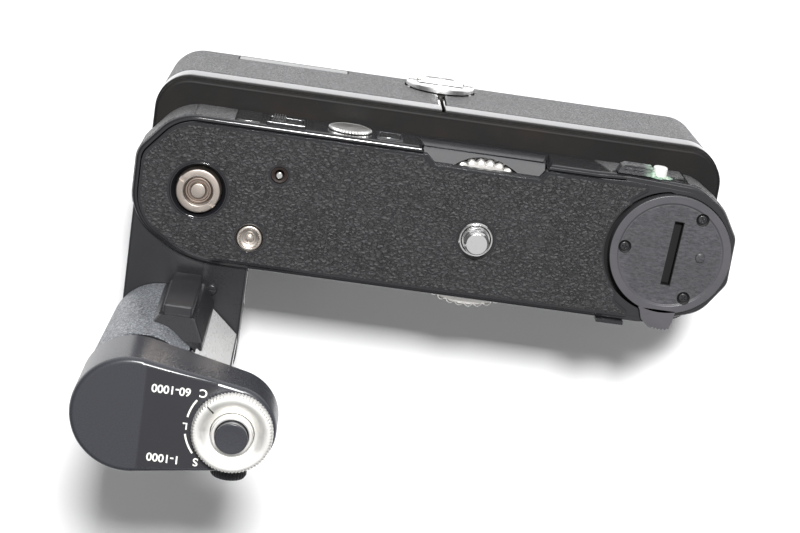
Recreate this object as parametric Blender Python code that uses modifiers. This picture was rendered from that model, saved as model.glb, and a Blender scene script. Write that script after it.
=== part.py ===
"""Camera motor drive with a pistol grip and a two-clip battery pack.

Frame: metres, +Z up, origin under the middle of the bounding box. +X runs along the body away from
the grip, +Y is the rear (the photographer's side). The camera screws down onto the top plate.
Every dimension below is in millimetres and is scaled once, when a mesh is made.
"""
import math

import bmesh
import bpy
from mathutils import Matrix, Vector

MM = 0.001
NAME = "motor_drive"
CENTRE = Vector((-1.35, -12.225, 0.0))  # middle of the bounding box, measured from the plate's centre

# ---------------------------------------------------------------- driving dimensions (mm)
GAP = 0.3                       # clearance between parts that sit on one another
SKIN = 0.1                      # clearance under a glued skin
# battery pack
PACK_X0, PACK_X1 = -73.6, 72.0
PACK_Y0, PACK_Y1 = -21.7, 24.5
PACK_MID = -0.8                 # split between the two clips
PACK_R = 9.0                    # plan corner radius
ROOF_Z0, ROOF_Z1 = 42.0, 46.9
BAND_Z = 31.7                   # bottom edge of the glossy band round each clip
CLIP_Z1 = 41.7
CLIP_WALL = 0.85
SPLIT = 0.5                     # half the gap between the clips
CELL_R, CELL_L = 7.05, 50.0      # AA cell
LOCK_Z, LOCK_R = 10.9, 9.2
# motor housing
HOUSE_Z0, HOUSE_Z1 = 47.2, 62.4
HOUSE_WALL = 1.3
PLATE_Z0, PLATE_Z1 = 60.5, 62.5
LEATHER_Z1 = 63.5
FOOT_Z1 = 60.5
# plate fittings, centre x, y
COUPLING = (-59.0, 0.1)
PLUNGER = (-45.1, -10.1)
CONTACT = (-39.75, 6.7)
SCREW = (10.5, -2.65)
KEY = (59.0, 0.4)
WHEEL_R, WHEEL_Z0, WHEEL_Z1 = 19.0, 55.0, 58.4
RECESS = (58.2, 0.4, 16.4)      # pocket the key disc turns in
# gears
MODULE = 1.0
TEETH_SPINDLE, TEETH_IDLER, TEETH_MOTOR = 24, 20, 12
GEAR_Z0, GEAR_Z1 = 51.0, 53.6
# grip
GRIP_BIG, GRIP_SMALL = (-64.5, -37.5), (-52.0, -37.5)
GRIP_R0, GRIP_R1, GRIP_R2 = 12.1, 12.9, 7.1
GRIP_Z0, GRIP_Z1 = 60.8, 112.0
HEAD_SMALL = (-42.0, -37.6)
HEAD_R_BIG, HEAD_R_SMALL = 13.4, 10.0
HEAD_Z1 = 124.5
DIAL = (-41.6, -37.6)
DIAL_R, DIAL_Z0, DIAL_Z1 = 9.05, 124.8, 127.9

HOUSE_OUTLINE = [  # plan corners x, y and corner radius, anticlockwise
    (-75.2, -9.0, 3.0), (-60.0, -18.5, 8.0), (56.0, -18.5, 12.0), (70.0, -13.6, 7.0),
    (75.2, -5.0, 4.0), (75.2, 4.6, 4.0), (70.4, 13.2, 4.0), (62.0, 18.3, 6.0), (46.0, 18.9, 20.0),
    (38.0, 18.5, 20.0), (-67.0, 18.5, 7.0), (-75.2, 8.0, 4.0)]
FOOT_OUTLINE = [
    (-74.7, -51.0, 11.5), (-44.7, -51.0, 9.0), (-44.7, -8.0, 0.5), (-74.7, -4.0, 0.5)]

# ---------------------------------------------------------------- scene set-up
for old in list(bpy.data.objects):
    bpy.data.objects.remove(old, do_unlink=True)
PARTS = bpy.data.collections.new(NAME)
CUTTERS = bpy.data.collections.new("cutters")
for group in (PARTS, CUTTERS):
    bpy.context.scene.collection.children.link(group)

FINISH = {  # base colour, metallic, roughness
    "black_paint": ((0.022, 0.022, 0.024), 0.0, 0.45),
    "gloss_black": ((0.030, 0.031, 0.034), 0.0, 0.18),
    "leather": ((0.030, 0.030, 0.032), 0.0, 0.62),
    "chrome": ((0.80, 0.80, 0.79), 1.0, 0.18),
    "steel": ((0.55, 0.54, 0.52), 1.0, 0.35),
    "brass": ((0.72, 0.55, 0.28), 1.0, 0.35),
    "rubber": ((0.035, 0.035, 0.036), 0.0, 0.75),
    "plastic": ((0.040, 0.040, 0.042), 0.0, 0.5),
    "board": ((0.05, 0.16, 0.08), 0.0, 0.5),
    "cell": ((0.12, 0.13, 0.16), 0.2, 0.4),
    "glass": ((0.70, 0.72, 0.74), 0.0, 0.05),
    "label": ((0.30, 0.30, 0.31), 0.6, 0.4)}


def paint(ob, finish):
    """Give the object a Principled material of its own."""
    color, metallic, rough = FINISH[finish]
    mat = bpy.data.materials.new(ob.name + "_mat")
    mat.use_nodes = True
    node = mat.node_tree.nodes["Principled BSDF"]
    node.inputs["Base Color"].default_value = (*color, 1.0)
    node.inputs["Metallic"].default_value = metallic
    node.inputs["Roughness"].default_value = rough
    ob.data.materials.append(mat)


def emit(name, bm, finish=None, origin=None):
    """Turn a millimetre bmesh into an object; without a finish it is a cutter or a building block."""
    bmesh.ops.recalc_face_normals(bm, faces=bm.faces)
    origin = Vector(origin or CENTRE)
    bmesh.ops.translate(bm, verts=bm.verts, vec=-origin)
    bmesh.ops.scale(bm, vec=(MM, MM, MM), verts=bm.verts)
    mesh = bpy.data.meshes.new(name)
    bm.to_mesh(mesh)
    bm.free()
    ob = bpy.data.objects.new(name, mesh)
    (PARTS if finish else CUTTERS).objects.link(ob)
    ob.location = (origin - CENTRE) * MM
    if finish:
        paint(ob, finish)
    else:
        ob.hide_render = True
        ob.display_type = "WIRE"
    return ob


def carve(ob, *tools, op="DIFFERENCE"):
    """Add one exact boolean per tool."""
    for tool in tools:
        mod = ob.modifiers.new(op.title(), "BOOLEAN")
        mod.operation = op
        mod.solver = "EXACT"
        mod.object = tool
    return ob


# ---------------------------------------------------------------- plan outlines
def rounded(corners, seg=5):
    """Polygon with rounded corners from (x, y, radius) triples."""
    out = []
    n = len(corners)
    for i, (x, y, r) in enumerate(corners):
        p = Vector((x, y))
        a = (Vector(corners[i - 1][:2]) - p).normalized()
        b = (Vector(corners[(i + 1) % n][:2]) - p).normalized()
        half = a.angle(b) / 2
        if half > math.radians(89):
            out.append(p)
            continue
        cut = r / math.tan(half)
        centre = p + (a + b).normalized() * (r / math.sin(half))
        start, end = p + a * cut - centre, p + b * cut - centre
        turn = start.angle_signed(end)
        for k in range(seg + 1):
            out.append(centre + Matrix.Rotation(-turn * k / seg, 2) @ start)
    return out


def inset(points, d):
    """Move every edge of an anticlockwise polygon inward by d."""
    out = []
    n = len(points)
    for i in range(n):
        p0, p1, p2 = points[i - 1], points[i], points[(i + 1) % n]
        e0, e1 = (p1 - p0).normalized(), (p2 - p1).normalized()
        n0, n1 = Vector((-e0.y, e0.x)), Vector((-e1.y, e1.x))
        out.append(p1 + (n0 + n1) * (d / (1 + n0.dot(n1))))
    return out


def egg(c1, r1, c2, r2, n1=24, n2=10):
    """Outline round a large and a small circle joined by their outer tangents."""
    a, b = Vector(c1), Vector(c2)
    axis = math.atan2(b.y - a.y, b.x - a.x)
    beta = math.acos((r1 - r2) / (b - a).length)
    small = [axis - beta + 2 * beta * k / n2 for k in range(n2 + 1)]
    big = [axis + beta + (2 * math.pi - 2 * beta) * k / n1 for k in range(n1 + 1)]
    return ([b + r2 * Vector((math.cos(t), math.sin(t))) for t in small]
            + [a + r1 * Vector((math.cos(t), math.sin(t))) for t in big])


def gear(teeth, cx, cy, phase):
    """Straight-flanked gear outline with one tooth centred on the phase angle."""
    pitch = teeth * MODULE / 2
    rise, drop, flank = 0.65 * MODULE, 0.95 * MODULE, math.tan(math.radians(20))
    half = math.pi * MODULE / 4 - 0.13
    out = []
    for k in range(teeth):
        mid = phase + 2 * math.pi * k / teeth
        for dr, sign in ((-drop, -1), (rise, -1), (rise, 1), (-drop, 1)):
            r = pitch + dr
            t = mid + sign * (half - dr * flank) / r
            out.append(Vector((cx + r * math.cos(t), cy + r * math.sin(t))))
    return out


# ---------------------------------------------------------------- solids
def loft(rings):
    """Closed solid through rings of equal length, each a list of 3-D points."""
    bm = bmesh.new()
    loops = [[bm.verts.new(p) for p in ring] for ring in rings]
    n = len(loops[0])
    for lower, upper in zip(loops, loops[1:]):
        for i in range(n):
            j = (i + 1) % n
            bm.faces.new((lower[i], lower[j], upper[j], upper[i]))
    bm.faces.new(loops[0][::-1])
    bm.faces.new(loops[-1])
    return bm


def at(points, z):
    return [Vector((p.x, p.y, z)) for p in points]


def evaluated(data):
    """Bmesh of a temporary object's evaluated geometry, its loose caps and seams welded."""
    ob = data if isinstance(data, bpy.types.Object) else bpy.data.objects.new("guide", data)
    source = ob.data
    bpy.context.scene.collection.objects.link(ob)
    graph = bpy.context.evaluated_depsgraph_get()
    mesh = bpy.data.meshes.new_from_object(ob.evaluated_get(graph))
    bm = bmesh.new()
    bm.from_mesh(mesh)
    bmesh.ops.remove_doubles(bm, verts=bm.verts, dist=1e-4)
    bpy.data.objects.remove(ob, do_unlink=True)
    bpy.data.meshes.remove(mesh)
    (bpy.data.curves if isinstance(source, bpy.types.Curve) else bpy.data.meshes).remove(source)
    return bm


def slab(points, z0, z1):
    """Flat outline given thickness."""
    curve = bpy.data.curves.new("outline", "CURVE")
    curve.dimensions = "2D"
    curve.fill_mode = "BOTH"
    curve.extrude = (z1 - z0) / 2
    spline = curve.splines.new("POLY")
    spline.points.add(len(points) - 1)
    for knot, p in zip(spline.points, points):
        knot.co = (p[0], p[1], 0, 1)
    spline.use_cyclic_u = True
    return moved(evaluated(curve), Matrix.Translation((0, 0, (z0 + z1) / 2)))


def box(x0, x1, y0, y1, z0, z1):
    bm = bmesh.new()
    bmesh.ops.create_cube(bm, size=1.0, matrix=Matrix.Translation(((x0 + x1) / 2, (y0 + y1) / 2, (z0 + z1) / 2))
                          @ Matrix.Diagonal((x1 - x0, y1 - y0, z1 - z0, 1.0)))
    return bm


def rod(x, y, r, z0, z1, n=32):
    bm = bmesh.new()
    bmesh.ops.create_cone(bm, cap_ends=True, segments=n, radius1=r, radius2=r, depth=z1 - z0,
                          matrix=Matrix.Translation((x, y, (z0 + z1) / 2)))
    return bm


def turned(profile, cx=0.0, cy=0.0, n=32):
    """Solid turned about a vertical axis from a (radius, z) profile, closed on itself or on the axis."""
    mesh = bpy.data.meshes.new("profile")
    closed = profile[0][0] > 1e-6 and profile[-1][0] > 1e-6
    edges = [(i, i + 1) for i in range(len(profile) - 1)] + ([(len(profile) - 1, 0)] if closed else [])
    mesh.from_pydata([(r, 0, z) for r, z in profile], edges, [])
    ob = bpy.data.objects.new("profile", mesh)
    mod = ob.modifiers.new("Turn", "SCREW")
    mod.steps = mod.render_steps = n
    mod.use_merge_vertices = True
    mod.merge_threshold = 1e-4
    return moved(evaluated(ob), Matrix.Translation((cx, cy, 0)))


def moved(bm, matrix):
    bmesh.ops.transform(bm, matrix=matrix, verts=bm.verts)
    return bm


def facing_rear(bm, x, y, z):
    """Stand a part modelled along +Z so that it points to the rear from (x, y, z)."""
    return moved(bm, Matrix.Translation((x, y, z)) @ Matrix.Rotation(math.radians(-90), 4, "X"))


def facing_front(bm, x, y, z):
    return moved(bm, Matrix.Translation((x, y, z)) @ Matrix.Rotation(math.radians(90), 4, "X"))


def knurled(r, depth, teeth, z0, z1, chamfer=0.5, cx=0.0, cy=0.0):
    """Disc with a ridged edge and chamfered rims."""
    def edge(scale):
        pts = []
        for k in range(teeth):
            for part, rr in ((0.0, r - depth), (0.5, r)):
                t = 2 * math.pi * (k + part) / teeth
                pts.append(Vector((cx + rr * scale * math.cos(t), cy + rr * scale * math.sin(t))))
        return pts
    s = (r - chamfer) / r
    return loft([at(edge(s), z0), at(edge(1), z0 + chamfer), at(edge(1), z1 - chamfer), at(edge(s), z1)])


# ---------------------------------------------------------------- motor housing
house = rounded(HOUSE_OUTLINE)
foot = rounded(FOOT_OUTLINE)
housing = emit("motor_housing", loft([at(inset(house, 0.5), HOUSE_Z0), at(house, HOUSE_Z0 + 0.5),
                                      at(house, HOUSE_Z1 - 0.4), at(inset(house, 0.4), HOUSE_Z1)]),
               "black_paint")
foot_block = emit("foot_block", loft([at(inset(foot, 0.5), HOUSE_Z0 + 0.02), at(foot, HOUSE_Z0 + 0.5),
                                      at(foot, FOOT_Z1 - 0.5), at(inset(foot, 0.5), FOOT_Z1)]))
inner = inset(house, HOUSE_WALL)
cavity = emit("cavity", slab(inner, HOUSE_Z0 + 1.6, HOUSE_Z1 + 2))
foot_cavity = emit("foot_cavity", slab(rounded([
    (-73.4, -49.7, 10.2), (-46.0, -49.7, 7.7), (-46.0, -14.0, 0.5), (-73.4, -7.0, 0.5)]),
    HOUSE_Z0 + 1.6, FOOT_Z1 - 1.8))
ramp_block = emit("ramp_block", box(-11, 29, 10.6, 17.9, HOUSE_Z0 + 0.8, PLATE_Z0 - GAP))
# finger notch over the wheel: sloping floor, flared sides
ramp = bmesh.new()
section = [(20.0, 48.2), (13.6, 56.6), (11.6, 56.6), (11.6, 66.0), (20.0, 66.0)]
flare = {20.0: (-9.8, 27.6), 13.6: (-3.6, 23.4), 11.6: (-1.6, 22.2)}
sides = [[ramp.verts.new((flare[y][s], y, z)) for y, z in section] for s in (0, 1)]
for i in range(5):
    j = (i + 1) % 5
    ramp.faces.new((sides[0][i], sides[0][j], sides[1][j], sides[1][i]))
ramp.faces.new(sides[0][::-1])
ramp.faces.new(sides[1])
notch = emit("notch", ramp)
wheel_room = emit("wheel_room", rod(*SCREW, WHEEL_R + 0.6, WHEEL_Z0 - 0.5, WHEEL_Z1 + 0.5, 40))
gear_axis = (Vector(GRIP_BIG) - Vector(COUPLING)).normalized()
IDLER = Vector(COUPLING) + gear_axis * (TEETH_SPINDLE + TEETH_IDLER) * MODULE / 2
MOTOR = IDLER + gear_axis * (TEETH_IDLER + TEETH_MOTOR) * MODULE / 2
carve(housing, foot_block, op="UNION")
carve(housing, cavity, foot_cavity,
      emit("recess_cut", rod(RECESS[0], RECESS[1], RECESS[2], 60.4, 70, 48)),
      emit("grip_hole", rod(*MOTOR, 10.4, FOOT_Z1 - 3, FOOT_Z1 + 1, 32)),
      emit("dial_hole", facing_rear(rod(0, 0, 1.6, -4, 4, 16), -24.2, 18.5, 55.0)),
      emit("window_hole", box(-16.6, -11.3, 16, 20, 52.0, 58.6)),
      emit("switch_hole", box(-42.4, -37.2, 16, 20, 55.2, 58.4)))
carve(housing, ramp_block, emit("key_stop", box(43.4, 50.4, -19.2, -18.3, 60.2, 64.1)),
      emit("screw_boss", turned([(2.7, 48.0), (5.2, 48.0), (5.2, 54.2), (2.7, 54.2)], *SCREW, 24)), op="UNION")
carve(housing, notch, wheel_room)

inner_plate = inset(house, HOUSE_WALL + GAP)
plate = emit("top_plate", slab(inner_plate, PLATE_Z0, PLATE_Z1), "black_paint")
plate_notch = emit("plate_notch", slab([Vector(p) for p in (
    (-9.8, 19), (-8.4, 16.9), (-2.4, 12.0), (22.8, 12.0), (26.6, 16.9), (28.2, 19))], 58, 66))
recess = emit("plate_recess", rod(RECESS[0], RECESS[1], RECESS[2], 58, 66, 48))
holes = [(COUPLING, 7.2), (PLUNGER, 3.7), (CONTACT, 2.2), (SCREW, 4.5)]
bores = [emit("bore_%d" % i, rod(*c, r, 58, 66, 28))
         for i, (c, r) in enumerate(holes)]
carve(plate, plate_notch, recess, *bores)

leather_outline = rounded([
    (-73.4, -8.6, 3.0), (-59.4, -16.9, 8.0), (52.2, -16.9, 0.6), (47.2, -13.4, 0.6), (47.2, 13.2, 0.6),
    (52.0, 16.7, 0.6), (-66.2, 16.7, 6.5), (-73.4, 7.3, 3.5)])
leather = emit("plate_leather", slab(leather_outline, PLATE_Z1 + SKIN, LEATHER_Z1), "leather")
carve(leather, plate_notch, *bores,
      emit("leather_arc", rod(RECESS[0], RECESS[1], 17.9, 60, 66, 48)))

seat = emit("key_seat", slab(inset(house, HOUSE_WALL + 0.2), 57.4, 60.2), "black_paint")
carve(seat, emit("seat_disc", rod(RECESS[0], RECESS[1], 17.6, 56, 62, 40)), op="INTERSECT")
carve(seat, emit("seat_bore", rod(*KEY, 3.0, 56, 62, 24)))

# sloping blank data plate under the wheel
label = bmesh.new()
slope = math.atan2(56.6 - 48.2, 20.0 - 13.6)
corners = [(-7.2, 18.15, 50.73), (25.4, 18.15, 50.73), (24.0, 15.6, 54.08), (-4.8, 15.6, 54.08)]
low = [label.verts.new(Vector(c) + 0.1 * Vector((0, math.sin(slope), math.cos(slope)))) for c in corners]
top = [label.verts.new(Vector(c) + 0.5 * Vector((0, math.sin(slope), math.cos(slope)))) for c in corners]
for i in range(4):
    j = (i + 1) % 4
    label.faces.new((low[i], low[j], top[j], top[i]))
label.faces.new(low[::-1])
label.faces.new(top)
emit("data_plate", label, "label")

# rear wall fittings
emit("rear_leather_left", box(-65.2, -52.4, 18.6, 19.0, 48.4, 61.6), "leather")
frame = emit("switch_frame", box(-44.6, -35.0, 18.6, 19.8, 53.6, 61.8), "steel")
carve(frame, emit("frame_slot", box(-43.8, -35.8, 18, 21, 54.6, 60.8)))
emit("power_switch", box(-43.2, -40.0, 18.7, 20.3, 54.9, 60.5), "gloss_black")
emit("counter_glass", box(-16.1, -11.8, 17.6, 18.9, 52.4, 58.2), "glass")
counter = emit("counter_dial", facing_rear(knurled(5.9, 0.35, 26, 0.0, 1.9, 0.4), -24.2, 18.8, 55.0),
               "chrome", origin=(-24.2, 18.8, 55.0))
carve(counter, emit("counter_shaft", facing_rear(rod(0, 0, 1.3, 0.0, 7.5, 16), -24.2, 12.0, 55.0)),
      op="UNION")
emit("rear_bar", loft([at([Vector(p) for p in ((42.6, 19.3), (43.6, 19.3), (51.0, 19.3), (51.0, 21.4),
                                               (43.6, 21.4), (42.6, 20.4))], z) for z in (58.9, 62.6)]),
     "plastic")
emit("terminal_pin", facing_rear(turned([(0, 0), (1.8, 0), (1.8, 2.0), (1.5, 2.4), (0, 2.4)], n=20),
                                 53.4, 19.3, 59.4), "chrome")
board = emit("circuit_board", box(-36.0, -12.0, -14.0, 4.0, 50.4, 52.0), "board")
carve(board, *[emit("chip_%d" % i, box(x, x + w, y, y + d, 51.5, 52.0 + h)) for i, (x, y, w, d, h) in enumerate((
    (-34, -12, 5, 7, 3), (-27, -12, 4, 4, 5), (-21, -11, 6, 3, 2), (-34, -3, 8, 5, 2.5), (-22, -4, 7, 6, 3)))],
      op="UNION")

# ---------------------------------------------------------------- plate mechanisms
phase = math.atan2(gear_axis.y, gear_axis.x)
spindle = emit("drive_spindle", turned([(0, 49.3), (3.0, 49.3), (3.0, 57.0), (5.5, 57.6), (5.5, 63.9),
                                        (5.2, 64.2), (3.3, 64.2), (3.3, 61.4), (1.9, 61.4), (1.9, 63.7),
                                        (1.6, 64.0), (0, 64.0)], *COUPLING, 32), "chrome",
               origin=(*COUPLING, 49.3))
carve(spindle, emit("spindle_gear", slab(gear(TEETH_SPINDLE, *COUPLING, phase), GEAR_Z0, GEAR_Z1)),
      op="UNION")
idler = emit("idler_gear", slab(gear(TEETH_IDLER, *IDLER, phase + math.pi + math.pi / TEETH_IDLER),
                                 GEAR_Z0, GEAR_Z1), "brass", origin=(*IDLER, GEAR_Z0))
carve(idler, emit("idler_axle", rod(*IDLER, 1.5, 49.1, 55.4, 16)), op="UNION")
rotor = emit("motor_rotor", turned([(0, 49.4), (1.0, 49.4), (1.0, 67.0), (7.4, 67.0), (7.4, 90.0),
                                    (1.0, 90.0), (1.0, 97.0), (0, 97.0)], *MOTOR, 24), "steel",
             origin=(*MOTOR, 49.4))
carve(rotor, emit("motor_pinion", slab(gear(TEETH_MOTOR, *MOTOR, phase + math.pi), GEAR_Z0, GEAR_Z1)),
      op="UNION")
emit("motor_can", turned([(1.3, 62.0), (9.6, 62.0), (9.6, 99.0), (2.6, 99.0), (2.6, 97.6), (8.6, 97.6),
                          (8.6, 63.2), (1.3, 63.2)], *MOTOR, 28), "steel")
emit("rewind_plunger", turned([(0, 51.0), (2.0, 51.0), (2.0, 57.6), (3.2, 57.6), (3.2, 63.9), (3.0, 64.1),
                               (2.2, 64.1), (2.2, 63.7), (1.2, 63.7), (1.2, 64.0), (0, 64.0)],
                              *PLUNGER, 24), "chrome", origin=(*PLUNGER, 51.0))
emit("contact_pin", turned([(0, 54.0), (0.9, 54.0), (0.9, 63.6), (0.7, 63.9), (0, 63.9)], *CONTACT, 16),
     "chrome", origin=(*CONTACT, 54.0))

wheel = emit("attach_wheel", knurled(WHEEL_R, 0.6, 48, WHEEL_Z0, WHEEL_Z1, 0.5, *SCREW), "chrome",
             origin=(*SCREW, WHEEL_Z0))
carve(wheel, emit("wheel_bore", rod(*SCREW, 3.7, 54, 60, 24)))
emit("camera_screw", turned([(0, 49.4), (2.6, 49.4), (2.6, 54.4), (3.45, 54.4), (3.45, 62.8),
                             (3.175, 63.2), (3.175, 67.4), (2.8, 68.0), (0, 68.0)], *SCREW, 24), "chrome", origin=(*SCREW, 49.4))

disc = emit("door_key", turned([(0, 60.5), (14.6, 60.5), (15.1, 61.0), (15.1, 63.5), (14.8, 63.9),
                                (13.5, 63.9), (13.1, 63.3), (0, 63.3)], *KEY, 48), "black_paint",
            origin=(*KEY, 60.5))
tab = emit("key_tab", slab([Vector((KEY[0] + x, KEY[1] + y)) for x, y in (
    (-5.2, -12.2), (3.6, -12.2), (3.4, -17.6), (2.6, -19.6), (-1.9, -19.6), (-4.6, -17.0))], 62.8, 63.8))
carve(disc, tab, op="UNION")
turn = math.atan2(16.55, 0.75) - math.pi / 2
slot = moved(box(-1.25, 1.25, -8.3, 8.3, 56, 66), Matrix.Translation((59.5, 0.8, 0)) @ Matrix.Rotation(turn, 4, "Z"))
carve(disc, emit("key_slot", slot))
screws = [(65.4, 10.3), (47.4, 1.0), (64.3, -10.2)]
carve(disc, *[emit("key_sink_%d" % i, rod(*c, 1.5, 61.9, 66, 16)) for i, c in enumerate(screws)])
for i, c in enumerate(screws):
    emit("key_screw_%d" % (i + 1), turned([(0, 62.2), (1.2, 62.2), (1.2, 63.3), (0, 63.5)], *c, 14), "steel")
carve(disc, emit("key_button", turned([(0, 62.0), (1.2, 62.0), (1.2, 64.0), (1.0, 64.2), (0, 64.2)],
                                      66.5, 0.7, 16)), op="UNION")
emit("key_shaft", rod(*KEY, 2.8, 50.0, 60.2, 24), "steel", origin=(*KEY, 50.0))

# ---------------------------------------------------------------- grip
def grip_ring(z, shrink):
    t = (z - GRIP_Z0) / (105.0 - GRIP_Z0)
    big = GRIP_R0 + (GRIP_R1 - GRIP_R0) * t - shrink
    return at(egg(GRIP_BIG, big, GRIP_SMALL, GRIP_R2 + 0.4 * t - shrink), z)


def surface(rings, cyclic):
    """Open surface through rings of points; Solidify gives it its wall."""
    bm = bmesh.new()
    loops = [[bm.verts.new(p) for p in ring] for ring in rings]
    n = len(loops[0])
    for lower, upper in zip(loops, loops[1:]):
        for i in range(n if cyclic else n - 1):
            j = (i + 1) % n
            bm.faces.new((lower[i], lower[j], upper[j], upper[i]))
    return bm


def wall(ob, thickness, inward=True):
    mod = ob.modifiers.new("Wall", "SOLIDIFY")
    mod.thickness = thickness * MM
    mod.offset = -1.0 if inward else 1.0
    mod.use_even_offset = True
    return ob


levels = (GRIP_Z0, 82.0, GRIP_Z1)
wall(emit("grip_core", surface([grip_ring(z, 0.65) for z in levels], True), "black_paint"), 1.1)


def grip_path(z, part):
    """Open plan path: the leather runs round the large end, the panel round the small one."""
    ring = grip_ring(z, 0)
    small, big = ring[:11], ring[11:]
    if part == "leather":
        return [big[0].lerp(small[-1], 0.5)] + big + [big[-1].lerp(small[0], 0.5)]
    return [big[-1].lerp(small[0], 0.54)] + small + [big[0].lerp(small[-1], 0.54)]


wall(emit("grip_leather", surface([grip_path(z, "leather") for z in (61.1, 82.0, 104.4)], False), "leather"), 0.5)
wall(emit("grip_panel", surface([grip_path(z, "panel") for z in (61.1, 82.0, 105.6)], False), "gloss_black"), 0.5)

pad_base = emit("pad_base", loft([
    [Vector(p) for p in ((x0, y0, z0), (x1, y1, z0), (x1, y1, z1), (x0, y0, z1))]
    for x0, y0, x1, y1, z0, z1 in ((-66.4, -27.6, -54.0, -27.6, 62.4, 88.0),
                                   (-64.0, -23.4, -55.2, -23.4, 62.8, 85.0))]), "gloss_black")
carve(pad_base, emit("grip_clear", loft([grip_ring(z, -0.15) for z in (58.0, 115.0)])))
emit("buffer_pad", box(-63.0, -56.0, -23.1, -20.9, 63.6, 84.2), "rubber")

# head
head_out = egg(GRIP_BIG, HEAD_R_BIG, HEAD_SMALL, HEAD_R_SMALL)
head = emit("grip_head", loft([at(head_out, 104.0), at(head_out, HEAD_Z1 - 0.7),
                               at(inset(head_out, 0.25), HEAD_Z1 - 0.2), at(inset(head_out, 0.8), HEAD_Z1)]),
            "black_paint")
under = bmesh.new()
wedge = [(-80, 100.0), (-80, 105.0), (-29, 114.0), (-29, 100.0)]
ends = [[under.verts.new((x, y, z)) for x, z in wedge] for y in (-60, -15)]
for i in range(4):
    j = (i + 1) % 4
    under.faces.new((ends[0][i], ends[0][j], ends[1][j], ends[1][i]))
under.faces.new(ends[0][::-1])
under.faces.new(ends[1])
carve(head, emit("head_wedge", under),
      emit("head_socket", loft([grip_ring(z, -0.3 if z < 113 else -0.3) for z in (100.0, 113.0)])),
      emit("head_hollow", slab(egg(GRIP_BIG, 10.6, HEAD_SMALL, 6.6), 112.6, 119.8)),
      emit("dial_well", rod(*DIAL, 5.4, 118, 126, 28)),
      emit("terminal_hole", facing_front(rod(0, 0, 3.2, -7, 9, 20), -41.6, -46.0, 117.0)),
      emit("label_pocket", slab([Vector(p) for p in (
          (-60.6, -48.4), (-46.0, -47.6), (-46.0, -27.4), (-60.6, -26.6))], 124.1, 126)))
head_label = emit("head_label", slab([Vector(p) for p in (
    (-60.3, -48.1), (-46.3, -47.3), (-46.3, -27.7), (-60.3, -26.9))], 124.2, 124.5), "plastic")
carve(head_label, emit("label_arc", rod(*DIAL, 9.4, 123, 126, 40)))
dial = emit("mode_dial", knurled(DIAL_R, 0.3, 36, DIAL_Z0, DIAL_Z1, 0.4, *DIAL), "chrome",
            origin=(*DIAL, DIAL_Z0))
carve(dial, emit("dial_bore", rod(*DIAL, 5.2, 120, 130, 28)),
      emit("dial_index", moved(box(6.4, 8.4, -0.2, 0.2, 127.6, 130), Matrix.Translation((*DIAL, 0))
                               @ Matrix.Rotation(math.radians(136), 4, "Z"))))
emit("release_sleeve", turned([(4.25, 120.2), (4.95, 120.2), (4.95, 128.3), (4.75, 128.5), (4.25, 128.5)],
                              *DIAL, 28), "chrome")
emit("release_button", turned([(0, 119.0), (1.5, 119.0), (1.5, 123.0), (4.0, 123.2), (4.0, 130.0),
                               (3.7, 130.3), (2.8, 130.1), (0, 129.6)], *DIAL, 28), "plastic",
     origin=(*DIAL, 119.0))
emit("terminal_socket", facing_front(turned([(1.6, 0), (2.9, 0), (2.9, 5.2), (1.6, 5.2)], n=20),
                                     -41.6, -42.9, 117.0), "steel")
emit("terminal_cap", facing_front(turned([(0, -2.2), (1.3, -2.2), (1.3, 1.2), (4.2, 1.2), (4.2, 3.6),
                                          (3.8, 4.1), (0, 4.1)], n=24), -41.6, -47.2, 117.0), "rubber")

# ---------------------------------------------------------------- battery pack
def pack_outline(d=0.0):
    return rounded([(PACK_X0 + d, PACK_Y0 + d, PACK_R - d), (PACK_X1 - d, PACK_Y0 + d, PACK_R - d),
                    (PACK_X1 - d, PACK_Y1 - d, PACK_R - d), (PACK_X0 + d, PACK_Y1 - d, PACK_R - d)], 8)


roof = emit("pack_roof", loft([at(pack_outline(0.3), ROOF_Z0), at(pack_outline(), ROOF_Z0 + 0.3),
                               at(pack_outline(), ROOF_Z1 - 0.5), at(pack_outline(0.5), ROOF_Z1)]),
            "black_paint")
carve(roof, emit("roof_pocket", slab(pack_outline(2.2), 41.0, 44.6)))
for side in (-1, 1):
    for y in (-12.0, 14.0):
        lo, hi = sorted((PACK_MID + side * 9.0, PACK_MID + side * 60.0))
        rail = [(y - 0.9, 44.9), (y - 0.9, 39.4), (y - 2.4, 39.4), (y - 2.4, 38.2), (y + 2.4, 38.2),
                (y + 2.4, 39.4), (y + 0.9, 39.4), (y + 0.9, 44.9)]
        bm = bmesh.new()
        ends = [[bm.verts.new((x, yy, zz)) for yy, zz in rail] for x in (lo, hi)]
        for i in range(8):
            j = (i + 1) % 8
            bm.faces.new((ends[0][i], ends[0][j], ends[1][j], ends[1][i]))
        bm.faces.new(ends[0][::-1])
        bm.faces.new(ends[1])
        carve(roof, emit("rail", bm), op="UNION")
carve(roof, emit("spine", box(PACK_MID - 5.5, PACK_MID + 5.5, -16.0, 19.0, 3.0, 44.9)), op="UNION")
carve(roof, emit("lock_boss", facing_rear(rod(0, 0, 7.6, 0, 6.4, 28), PACK_MID, 18.0, LOCK_Z)),
      op="UNION")
carve(roof, emit("lock_bore", facing_rear(rod(0, 0, 2.2, 0, 12, 20), PACK_MID, 14.0, LOCK_Z)))
for side, tag in ((-1, "left"), (1, "right")):
    emit("supply_contact_" + tag, box(*sorted((PACK_MID + side * 5.8, PACK_MID + side * 6.6)), -10, 14, 8, 32),
         "brass")

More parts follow.
